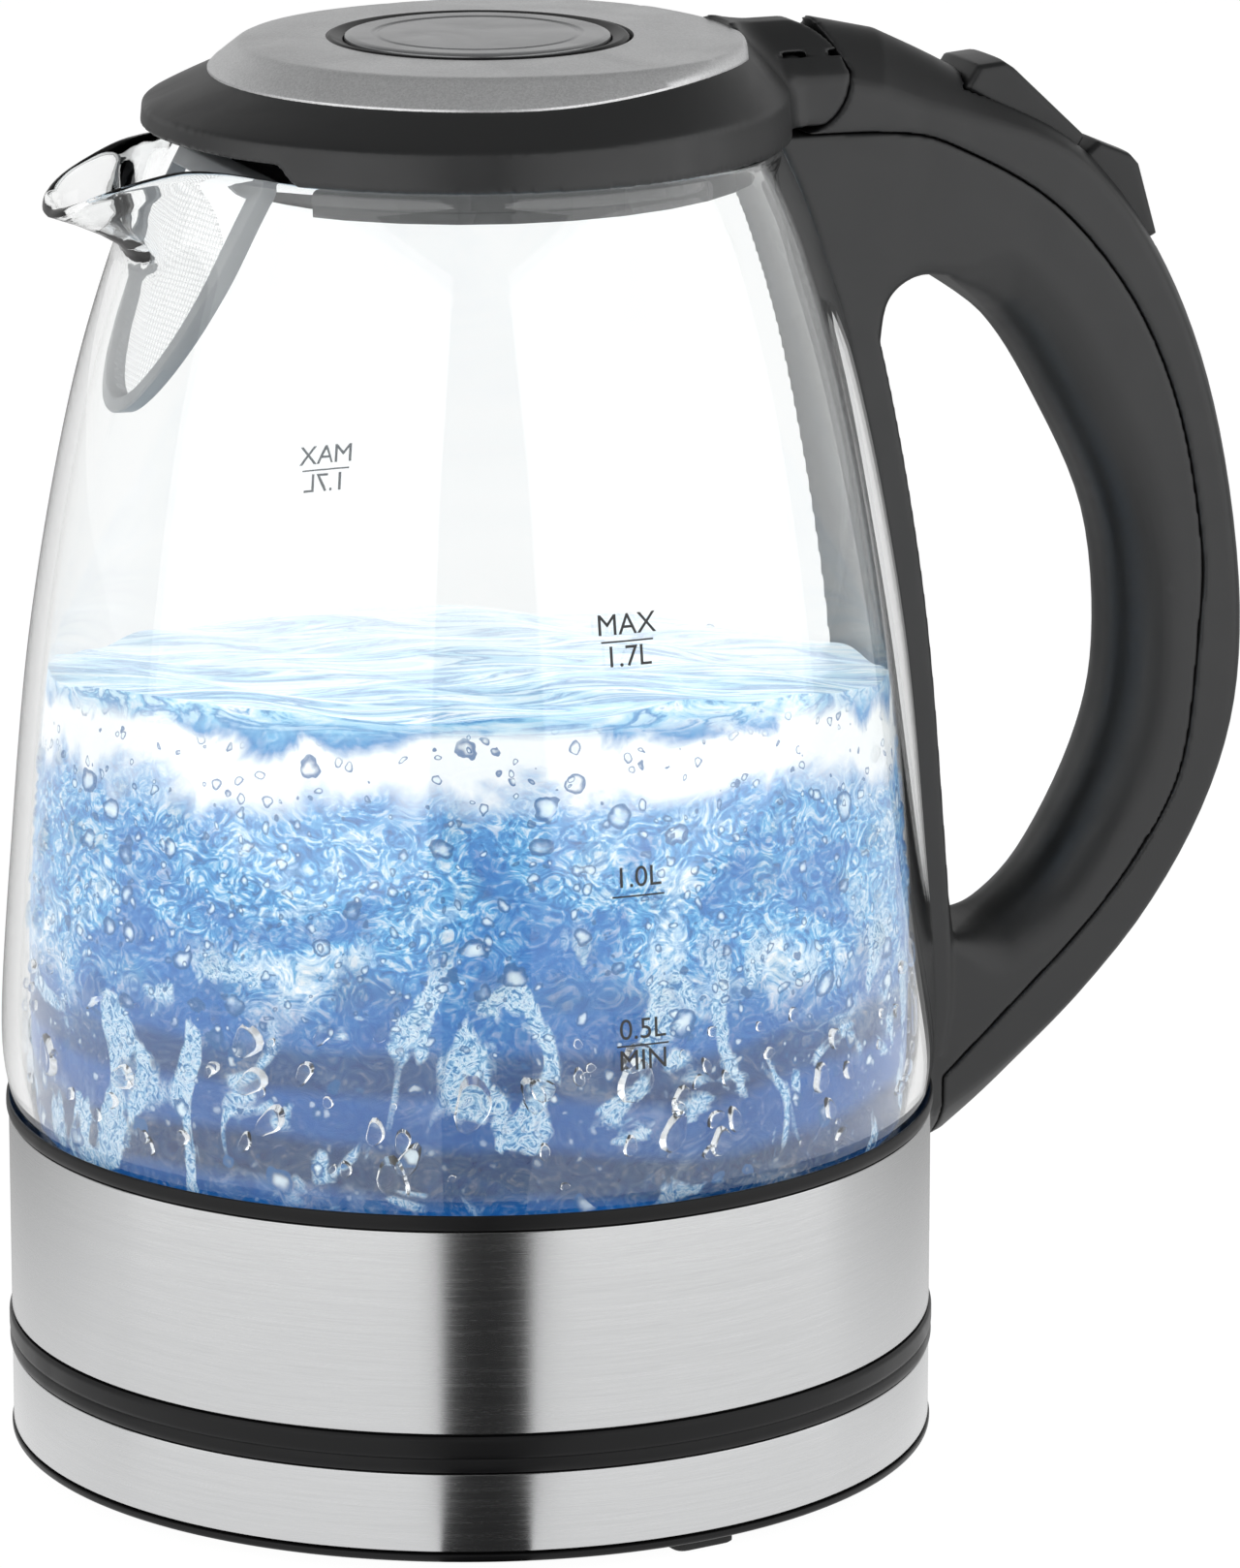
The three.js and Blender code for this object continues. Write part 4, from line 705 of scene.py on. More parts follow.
def make_screw(name, node, body):
    """A cross-head screw in place of a plain one; its head is at the low end."""
    low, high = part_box(node)
    middle = (low + high) / 2 / MM
    radius, foot, top = (high.x - low.x) / 2 / MM, low.z / MM, high.z / MM
    mesh = turned(name, filleted([
        (0, foot), (radius, foot, 0.25), (radius, foot + 0.8, 0.2), (1.5, foot + 1.0), (1.5, top - 1, 0.5),
        (0, top)]), 32)
    mesh.transform(Matrix.Translation((middle.x * MM, middle.y * MM, 0)))
    made = add_object(name, mesh, body, SCREW_STEEL, [node])
    bars = []
    for wide, deep in ((1.6, 0.35), (0.35, 1.6)):
        points = [(sx * wide + middle.x, sy * deep + middle.y, z)
                  for z in (foot - 1, foot + 0.45) for sx, sy in ((-1, -1), (1, -1), (1, 1), (-1, 1))]
        faces = [(3, 2, 1, 0), (4, 5, 6, 7), (0, 1, 5, 4), (1, 2, 6, 5), (2, 3, 7, 6), (3, 0, 4, 7)]
        bars.append(loose("slot", new_mesh("slot", points, faces)))
    cut_by(made, *bars)


# ---------------------------------------------------------------- lower body
def make_lower_body():
    body = "kettle"
    foot, top = foot_of("bottom_skirt") + 0.8, top_of("bottom_skirt") - 9
    plate_foot = foot + 0.8
    add_turned("lower_skirt", [
        (17.4, plate_foot), (71.6, plate_foot), (71.6, foot - 1.4), (74.4, foot - 1.4), (74.4, foot),
        (RING_RADIUS - 0.9, foot, 0.4), (RING_RADIUS, foot + 0.7, 0.6), (RING_RADIUS, top - 0.6, 0.5),
        (RING_RADIUS - 0.4, top), (BODY_RADIUS - 1, top), (BODY_RADIUS - 1, top + 9), (LINER_RADIUS, top + 9),
        (LINER_RADIUS, plate_foot + 1.8), (17.4, plate_foot + 1.8)],
        body, TRIM_BLACK, "bottom_skirt")
    add_band("body_band", "body_steel_band", body)
    collar_foot, collar_top = top_of("body_steel_band") + 0.3, top_of("lower_collar")
    seat = glass_radius(GLASS_FOOT) + GAP
    add_turned("glass_collar", [
        (70, 53.8), (LINER_RADIUS, 53.8), (LINER_RADIUS, 33.7), (BODY_RADIUS - 1, 33.7),
        (BODY_RADIUS - 1, collar_foot), (RING_RADIUS - 0.3, collar_foot, 0.3),
        (RING_RADIUS, collar_foot + 0.8, 0.5), (RING_RADIUS - 0.1, collar_top, 0.7),
        (glass_radius(collar_top) + GAP, collar_top + 0.1, 0.3), (seat, collar_foot - 1), (seat, 55.8),
        (70, 55.8)], body, TRIM_BLACK, "lower_collar")


# ---------------------------------------------------------------- jug
JUG_FOOT_INSET, JUG_BELLY = 1.85, 0.97
JUG_OUTLINE = spline(
    [(0, BODY_RADIUS - JUG_FOOT_INSET), (0.03, BODY_RADIUS - 0.15 * JUG_FOOT_INSET), (0.1, BODY_RADIUS + JUG_BELLY)]
    + [(share, RIM_RADIUS + (BODY_RADIUS - RIM_RADIUS) * swell)
       for share, swell in ((0.27, 0.965), (0.51, 0.818), (0.745, 0.55), (0.912, 0.24), (1, 0))], 80)
SPOUT_ROOT_DROP, SPOUT_HALF_ANGLE, SPOUT_SWELL = 17.5, 38.0, 1.7
# Lip of the spout: degrees from its middle, radius, and height over the rim.
SPOUT_LIP = spline([(0, 80.0, -6.6), (3, 79.4, -6.0), (6, 77.2, -4.6), (9, 72.6, -2.6), (12, 66.6, -0.6),
                    (16, 60.8, 0.9), (22, 56.4, 1.0), (30, 53.5, 0.4), (38, RIM_RADIUS, 0)], 96)


def glass_radius(height):
    share = np.clip((height - GLASS_FOOT) / (RIM_HEIGHT - GLASS_FOOT), 0, 1)
    shares, radii = zip(*JUG_OUTLINE)
    return np.interp(share, shares, radii)


def spout_lip(degrees):
    """Radius and height of the glass lip at an angle from the middle of the spout."""
    angles, radii, lifts = zip(*SPOUT_LIP)
    return float(np.interp(abs(degrees), angles, radii)), float(np.interp(abs(degrees), angles, lifts))


def jug_point(degrees, share, inward):
    lip, lift = spout_lip(degrees)
    top = RIM_HEIGHT + lift
    height = GLASS_FOOT + (top - GLASS_FOOT) * share
    root = RIM_HEIGHT - SPOUT_ROOT_DROP
    rise = min(max((height - root) / (top - root), 0), 1)
    radius = float(glass_radius(height - lift * rise)) + (lip - RIM_RADIUS) * rise ** SPOUT_SWELL
    radius -= inward * (1 + 0.2 * rise)
    angle = math.radians(180 + degrees)
    return radius * math.cos(angle), radius * math.sin(angle), height


def jug_section(degrees):
    """One upright section of the glass wall: up the outside, over the rounded rim, down the inside."""
    rows, bead = 90, 8
    shares = [i / rows for i in range(rows)]
    rim = 0.99
    section = [jug_point(degrees, share * rim, 0) for share in shares]
    outer, inner = jug_point(degrees, rim, 0), jug_point(degrees, rim, GLASS_WALL)
    crown = jug_point(degrees, 1, GLASS_WALL / 2)
    for k in range(bead + 1):
        angle = math.pi * k / bead
        side = (1 - math.cos(angle)) / 2
        lift = (crown[2] - outer[2]) * math.sin(angle)
        section.append((outer[0] + (inner[0] - outer[0]) * side, outer[1] + (inner[1] - outer[1]) * side,
                        outer[2] + lift))
    section += [jug_point(degrees, share * rim, GLASS_WALL) for share in reversed(shares)]
    return section


def make_jug():
    fine = [-SPOUT_HALF_ANGLE * 1.3 + SPOUT_HALF_ANGLE * 2.6 * i / 100 for i in range(101)]
    start = SPOUT_HALF_ANGLE * 1.3
    rest = [start + (360 - 2 * start) * i / 150 for i in range(1, 150)]
    sections = [jug_section(degrees) for degrees in fine + rest]
    count, rows = len(sections), len(sections[0])
    points = [point for section in sections for point in section]
    faces = []
    for column in range(count):
        other = (column + 1) % count
        for row in range(rows):
            up = (row + 1) % rows
            faces.append((column * rows + row, other * rows + row, other * rows + up, column * rows + up))
    mesh = new_mesh("jug", points, faces)
    add_object("jug", mesh, "kettle", JUG_GLASS, ["glass_jug"], sharp=60)


# ---------------------------------------------------------------- handle
def handle_point(place):
    reach, height = place
    return (BODY_RADIUS + reach * 63.8, HANDLE_FOOT + height * (HANDLE_TOP - HANDLE_FOOT))


def handle_points(places):
    return [handle_point(place) for place in places]


HANDLE_BACK = [(HINGE_X + 4.4, HANDLE_TOP)] + spline(handle_points([
    (-0.08, 0.984), (0.16, 0.945), (0.51, 0.874), (0.76, 0.766), (0.922, 0.626), (1, 0.45), (0.94, 0.314),
    (0.706, 0.181), (0.306, 0.052), (0.122, 0)]), 60)
SEAM = spline([(HINGE_X - 4, RIM_HEIGHT - 1), (HINGE_X + 18, RIM_HEIGHT - 1.8)] + handle_points([
    (0.092, 0.886), (0.383, 0.831), (0.619, 0.743), (0.766, 0.639), (0.838, 0.521), (0.836, 0.45), (0.794, 0.33),
    (0.6875, 0.258), (0.522, 0.191), (0.284, 0.12), (0.075, 0.06)]), 60)
SPINE_PROUD = 5.5


def finger_gap():
    strip = [(float(glass_radius(height)) + SPINE_PROUD, height) for height in np.linspace(98, 190, 14)]
    arch = spline([strip[-1], (73.3, 196.8), (76.0, 200.2), (80.2, 201.8), (85.0, 201.2)], 16)[1:]
    grip = spline([arch[-1]] + handle_points([
        (0.27, 0.724), (0.425, 0.65), (0.585, 0.54), (0.622, 0.42), (0.56, 0.33), (0.4, 0.24),
        (0.24, 0.197), (0.12, 0.187)]), 48)[1:]
    return strip + arch + grip


BUTTON_LENGTH, SWITCH_LENGTH, BUTTON_HALF = 25.0, 21.0, 8.0
BUTTON_FRAME = ((101.53, 229.56), (0.8301, -0.5576))
SWITCH_FRAME = ((119.895, 213.38), (0.6047, -0.7964))


def along_out(crown, x, z):
    """Places beside a point of the crown: along its tangent and out along its normal."""
    (ox, oz), (tx, tz) = crown
    return (x - ox) * tx + (z - oz) * tz, -(x - ox) * tz + (z - oz) * tx


def handle_field(x, y, z):
    """Depth below the skin of the whole handle, before it is split at the seam."""
    far = -100
    bottom = HANDLE_BACK[-1][1] - 4
    outline = HANDLE_BACK + [(HANDLE_BACK[-1][0] - 8, bottom), (far, bottom), (far, HANDLE_TOP)]
    from_back = flat_distance(outline, x, z)
    near_lid = smooth_step((112 - x) / 40)
    sag = 3.2 + 6.3 * near_lid
    power = 3.2 - 1.3 * near_lid
    side = np.abs(y) / HANDLE_HALF
    crown = (from_back - sag * side ** power) * (0.93 - 0.2 * near_lid * side)
    narrow = 0.7 * smooth_step((112 - z) / 30)
    flank = HANDLE_HALF - narrow - np.abs(y)
    from_gap = -flat_distance(finger_gap(), x, z)
    round_gap = 2.2 + 8.8 * smooth_step((x - BODY_RADIUS - 4) / 14)
    grip = rounded_min(from_gap, flank, round_gap)
    block = np.minimum(rounded_min(crown, flank, 0.8), grip)
    foot = 28.0
    spine_face = np.where(z > 62, glass_radius(z) + SPINE_PROUD, BODY_RADIUS + 2.5)
    spine_flat = rounded_min(spine_face - x, z - foot, 1.5)
    spine = rounded_min(spine_flat, HANDLE_HALF - np.abs(y), 1.2)
    spine = np.minimum(spine, 215 - z)
    both = np.maximum(block, spine)
    ring = np.hypot(x, y)
    both = np.minimum(both, np.where(z < RIM_HEIGHT, ring - glass_radius(z) - GAP, 1e3))
    collar = np.where(z < top_of("lower_collar") + GAP, ring - RING_RADIUS - GAP, 1e3)
    both = np.minimum(both, collar)
    reach = BARREL_RADIUS + 0.6
    barrel = np.hypot(x - HINGE_X, z - HINGE_Z) - reach
    angle = math.radians(90 - LID_TRAVEL)
    slope = (x - HINGE_X) * math.cos(angle) + (z - HINGE_Z) * math.sin(angle) - reach
    lip = np.where(z > HINGE_Z, slope, 1e3)
    under = np.where(z > RIM_HEIGHT - 0.5, x - HINGE_X - 0.8, 1e3)
    return np.minimum(np.minimum(both, barrel), np.minimum(lip, under))


def make_handle():
    far = 200
    inner_side = [(-20, SEAM[0][1])] + SEAM + [(SEAM[-1][0], -50), (-20, -50)]
    outer_side = [(HINGE_X - 20, far * 2)] + SEAM + [(SEAM[-1][0], -50), (far, -50), (far, far * 2)]
    seam_gap = 0.15

    def hollow(x, y, z):
        """The space inside the two shells, an even wall below their skin."""
        return np.minimum(handle_field(x, y, z) - 2.6, np.minimum(x - BODY_RADIUS - 9, z - HANDLE_FOOT - 18))

    def grip(x, y, z):
        kept = np.minimum(handle_field(x, y, z), flat_distance(inner_side, x, z) - seam_gap)
        return np.minimum(kept, -hollow(x, y, z))

    def pocket(crown, length, depth, x, y, z):
        along, out = along_out(crown, x, z)
        ends, sides = length / 2 + GAP - np.abs(along), BUTTON_HALF + GAP - np.abs(y)
        return np.minimum(np.minimum(ends, sides), out + depth)

    def arms(x, y, z):
        arm = [(HINGE_X - 1.5, HINGE_Z - 3), (HINGE_X + 0.5, HINGE_Z - 6.8), (HINGE_X + 14.7, HINGE_Z - 6.8),
               (HINGE_X + 14.7, HINGE_Z - 6.0), (HINGE_X + 3.5, HINGE_Z - 6.0), (HINGE_X + 1.5, HINGE_Z)]
        side = np.maximum(flat_distance(arm, x, z), 3.7 - np.hypot(x - HINGE_X, z - HINGE_Z))
        return np.minimum(side, 1.6 - np.abs(np.abs(y) - 7))

    def cover(x, y, z):
        kept = np.minimum(handle_field(x, y, z), flat_distance(outer_side, x, z) - seam_gap)
        kept = np.minimum(kept, -hollow(x, y, z))
        kept = np.minimum(kept, -pocket(BUTTON_FRAME, BUTTON_LENGTH, 8.2, x, y, z))
        kept = np.minimum(kept, -pocket(SWITCH_FRAME, SWITCH_LENGTH + 1.2, 6.5, x, y, z))
        return np.maximum(kept, arms(x, y, z))

    cell = 0.6
    low, high = (44, -14, 26), (146, 14, 249)
    add_object("grip", carved("grip", grip, low, high, cell), "kettle", SATIN_BLACK,
               ["handle_grip"], sharp=0)
    cover_mesh = carved("back_cover", cover, low, high, cell)
    add_object("back_cover", cover_mesh, "kettle", SATIN_BLACK,
               ["handle_back_cover"], sharp=0)


def make_buttons():
    def wedge(crown, profile, rounding):
        def field(x, y, z):
            along, out = along_out(crown, x, z)
            depth = flat_distance(profile, along, out) - 0.35 * (np.abs(y) / BUTTON_HALF) ** 3
            return rounded_min(depth, BUTTON_HALF - np.abs(y), rounding)
        return field

    half = BUTTON_LENGTH / 2
    press = [(-half, -4), (half, -4), (half, 1.2), (-half + 6.5, 4.2), (-half + 4, 4.2), (-half, 1)]
    half = SWITCH_LENGTH / 2
    rocker = [(-half, -2.4), (half - 1, -4), (half, 0.4), (-half + 8.6, 5.2), (-half + 6, 5), (-half, 1.6)]
    for name, crown, profile, node in (("press_button", BUTTON_FRAME, press, "lid_release_button"),
                                       ("rocker_switch", SWITCH_FRAME, rocker, "power_switch")):
        low, high = [[c / MM for c in corner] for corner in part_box(node)]
        grow = 1.5
        mesh = carved(name, wedge(crown, profile, 1.0), [c - grow for c in low], [c + grow for c in high],
                      0.4)
        add_object(name, mesh, node, BUTTON_BLACK, [node], sharp=0)


# ---------------------------------------------------------------- lid
PLATE_CENTRE, PLATE_RADIUS, PLATE_REAR = 2.6, 46.2, 41.5
CREASE_Z, CREASE_R = 236.2, 54.9


def plate_outline():
    """Plan outline of the silver plate: a circle that ends in two corners and a bulged rear edge."""
    angle = math.acos((PLATE_REAR - PLATE_CENTRE) / PLATE_RADIUS)
    outline = []
    for i in range(97):
        a = angle + (2 * math.pi - 2 * angle) * i / 96
        outline.append((PLATE_CENTRE + PLATE_RADIUS * math.cos(a), PLATE_RADIUS * math.sin(a)))
    (tip_x, tip_y), bulge = outline[0], 6
    for i in range(1, 24):
        share = i / 24
        outline.append((tip_x + bulge * math.sin(math.pi * share), -tip_y + 2 * tip_y * share))
    return outline


def lid_top(x, y, sunk=0.0):
    """Height of the lid's upper surface: a low dome, a falling border and the dark bevel outside it."""
    ring = np.hypot(x - PLATE_CENTRE, y)
    rear = smooth_step((x + 8) / 46)
    dome = HANDLE_TOP + 0.2 - 0.9 * (np.minimum(ring, 41) / 41) ** 2
    fold = 40.2 + 4.6 * rear
    border = (4.2 - 2.6 * rear) * smooth_border((ring - fold) / (PLATE_RADIUS - fold))
    edge = HANDLE_TOP + 0.2 - 0.9 - (4.7 - 2.6 * rear)
    crease = CREASE_Z + 0.6 * rear
    reach = np.maximum(CREASE_R - np.hypot(x, y), 0)
    span = np.maximum(CREASE_R - np.hypot(x, y) + ring - PLATE_RADIUS, 0.5)
    bevel = crease + (edge - crease) * np.clip(reach / span, 0, 1) ** 0.9
    return np.where(ring < PLATE_RADIUS, dome - border - sunk, bevel)


def smooth_border(share):
    t = np.clip(share, 0, 1)
    return np.where(t < 0.25, t * t * 2, t - 0.125) / 0.875


def make_lid():
    body = "lid"
    plate_edge = plate_outline()
    tongue = [(HINGE_X - 22, HANDLE_TOP), (HINGE_X, HANDLE_TOP)] + [
        (HINGE_X + TONGUE_RADIUS * math.sin(math.radians(a)),
         HINGE_Z + TONGUE_RADIUS * math.cos(math.radians(a))) for a in range(4, 171, 6)] + [(HINGE_X - 6, LID_FOOT), (HINGE_X - 22, LID_FOOT)]

    def shell(x, y, z):
        ring = np.hypot(x, y)
        from_hinge = np.hypot(x - HINGE_X, z - HINGE_Z)
        band = LID_RADIUS - 0.5 * smooth_step((z - LID_FOOT) / 7) - ring
        outer = rounded_min(band, (lid_top(x, y, 0.5) - 0.15 - z) * 0.8, 0.3)
        side = np.abs(y) / HANDLE_HALF
        crown = np.minimum(flat_distance(tongue, x, z), (HANDLE_TOP - 9.3 * side ** 1.7 - z) * (0.93 - 0.2 * side))
        bridge = rounded_min(crown, HANDLE_HALF - np.abs(y), 0.8)
        cap = HANDLE_TOP + np.where(x > 20, np.clip(0.1 * (52 - x), 0, 0.6) - 0.5, 0.1)
        solid = np.minimum(blended_max(outer, bridge, 5.0), cap - z)
        solid = np.minimum(solid, np.where(x >= HINGE_X, TONGUE_RADIUS - from_hinge, 1e3))
        angle = np.degrees(np.arctan2(np.abs(y), -x))
        foot = LID_FOOT + 3.3 * smooth_step((SPOUT_HALF_ANGLE + 1 - angle) / 5)
        solid = np.minimum(solid, z - foot)
        plate = np.minimum(flat_distance(plate_edge, x, y) - 0.9, z - lid_top(x, y) + 1.6)
        solid = np.minimum(solid, -plate)
        inside = np.minimum(LID_RADIUS - 2.4 - ring, lid_top(x, y) - 4.2 - z)
        inside = np.minimum(inside, np.maximum(HINGE_X - 10 - x, RIM_HEIGHT + 3.4 - z))
        solid = np.minimum(solid, -inside)
        slot = np.minimum(2.0 - np.abs(np.abs(y) - 7), HINGE_Z + 4.2 - z)
        slot = np.minimum(slot, np.maximum(4.6 - from_hinge, HINGE_Z - z + 0.62 * (x - HINGE_X)))
        return np.minimum(solid, -slot)

    cell = 0.6
    low, high = (-58, -57, 227), (67, 57, 249)
    add_object("lid_cap", carved("lid_cap", shell, low, high, cell), body, SATIN_BLACK,
               ["lid_shell"], sharp=0)

    inner = 26.1
    count = len(plate_edge)
    bore = [(PLATE_CENTRE + inner * math.cos(math.atan2(y, x - PLATE_CENTRE)),
             inner * math.sin(math.atan2(y, x - PLATE_CENTRE))) for x, y in plate_edge]
    rings = []
    for share in np.linspace(0, 1, 26):
        ring = [(a[0] + (b[0] - a[0]) * share, a[1] + (b[1] - a[1]) * share)
                for a, b in zip(bore, plate_edge)]
        rings.append([(x, y, float(lid_top(min(x, 60), y)) if share < 1 else
                       float(lid_top(x * 0.999, y * 0.999)) - 0.25) for x, y in ring])
    under = [[(x, y, z - 1.2) for x, y, z in ring] for ring in (rings[-1], rings[0])]
    rings += [[(x, y, z - 0.25) for x, y, z in rings[-1]], *under]
    points = [point for ring in rings for point in ring]
    faces = bands(count, len(rings))
    last = (len(rings) - 1) * count
    faces += [(last + k, last + (k + 1) % count, (k + 1) % count, k) for k in range(count)]
    add_object("silver_plate", new_mesh("silver_plate", points, faces), body, PLATE_SILVER,
               ["lid_top_plate"], sharp=40)
    crown = HANDLE_TOP + 0.2
    add_turned("lid_button_disc", [
        (0, crown - 1.0), (21.5, crown - 1.0), (22.6, crown - 0.9), (22.6, crown - 0.15, 0.4),
        (21.6, crown + 0.1, 0.3), (18.2, crown + 0.1, 0.2), (17.8, crown - 0.15, 0.2), (17.2, crown - 0.15, 0.2),
        (16.8, crown + 0.05, 0.2), (9, crown), (0, crown - 0.05)],
        body, DISC_SILVER, "lid_disc", 160, DISC_OFFSET)
    add_turned("lid_disc_frame", [
        (22.9, crown - 1.4), (25.8, crown - 1.4), (25.8, crown - 0.5, 0.3), (25.2, crown, 0.4),
        (24.2, crown - 0.3, 0.4), (23.3, crown - 0.6, 0.3), (22.9, crown - 0.8)],
        body, TRIM_BLACK, "lid_disc_ring", 160, DISC_OFFSET)


# ---------------------------------------------------------------- spout filter
def filter_outline(count, inset):
    """A bar across the top and a long round bow below it, in side and height."""
    outline = []
    wide, deep = 22 - inset, 41 - 2 * inset
    top = RIM_HEIGHT - 1.5 - inset
    for i in range(count):
        angle = math.pi * i / (count - 1)
        outline.append((wide * math.cos(angle) * (1 - 0.16 * math.sin(angle) ** 2),
                        top - deep * math.sin(angle) ** 0.8))
    return outline


def filter_point(side, height, inward):
    radius = float(glass_radius(height)) - GLASS_WALL * 1.1 - 1.2 - inward
    return -math.sqrt(radius ** 2 - side ** 2), side, height


def make_filter():
    count = 120
    layers = [(0.0, 0.3), (0.3, 0.0), (2.3, 0.0), (2.6, 0.3), (2.6, 2.7), (2.3, 3.0), (0.3, 3.0), (0.0, 2.7)]
    points, faces = [], []
    for inset, inward in layers:
        points += [filter_point(side, height, inward) for side, height in filter_outline(count, inset)]
    for i in range(len(layers)):
        j = (i + 1) % len(layers)
        for k in range(count):
            n = (k + 1) % count
            faces.append((i * count + k, j * count + k, j * count + n, i * count + n))
    add_object("filter_rim", new_mesh("filter_rim", points, faces), "kettle", FILTER_GREY,
               ["filter_frame"], sharp=40)


# ---------------------------------------------------------------- water and level marks
WATER_SLOPE = 8 / 77
WATER_GAP = 0.9


def hue(red, green, blue):
    """A display colour as the linear values that a shader takes."""
    return tuple(c / 255 / 12.92 if c < 10.3 else ((c / 255 + 0.055) / 1.055) ** 2.4
                 for c in (red, green, blue))


def water_height(x, y):
    """Rolling surface: a slow slosh toward the front with crossing ripples."""
    across, deep = x * VIEW_SIDE.x + y * VIEW_SIDE.y, x * VIEW_DEPTH.x + y * VIEW_DEPTH.y
    ripple = 1.1 * math.sin(across / 17 + deep / 31 + 0.6) + 0.7 * math.sin(deep / 7.5 - across / 26)
    ripple += 0.45 * math.sin(across / 5.3 + deep / 9.1 + 1.3) + 0.3 * math.sin(deep / 3.1 + across / 12)
    return WATER_LEVEL - WATER_SLOPE * deep + ripple


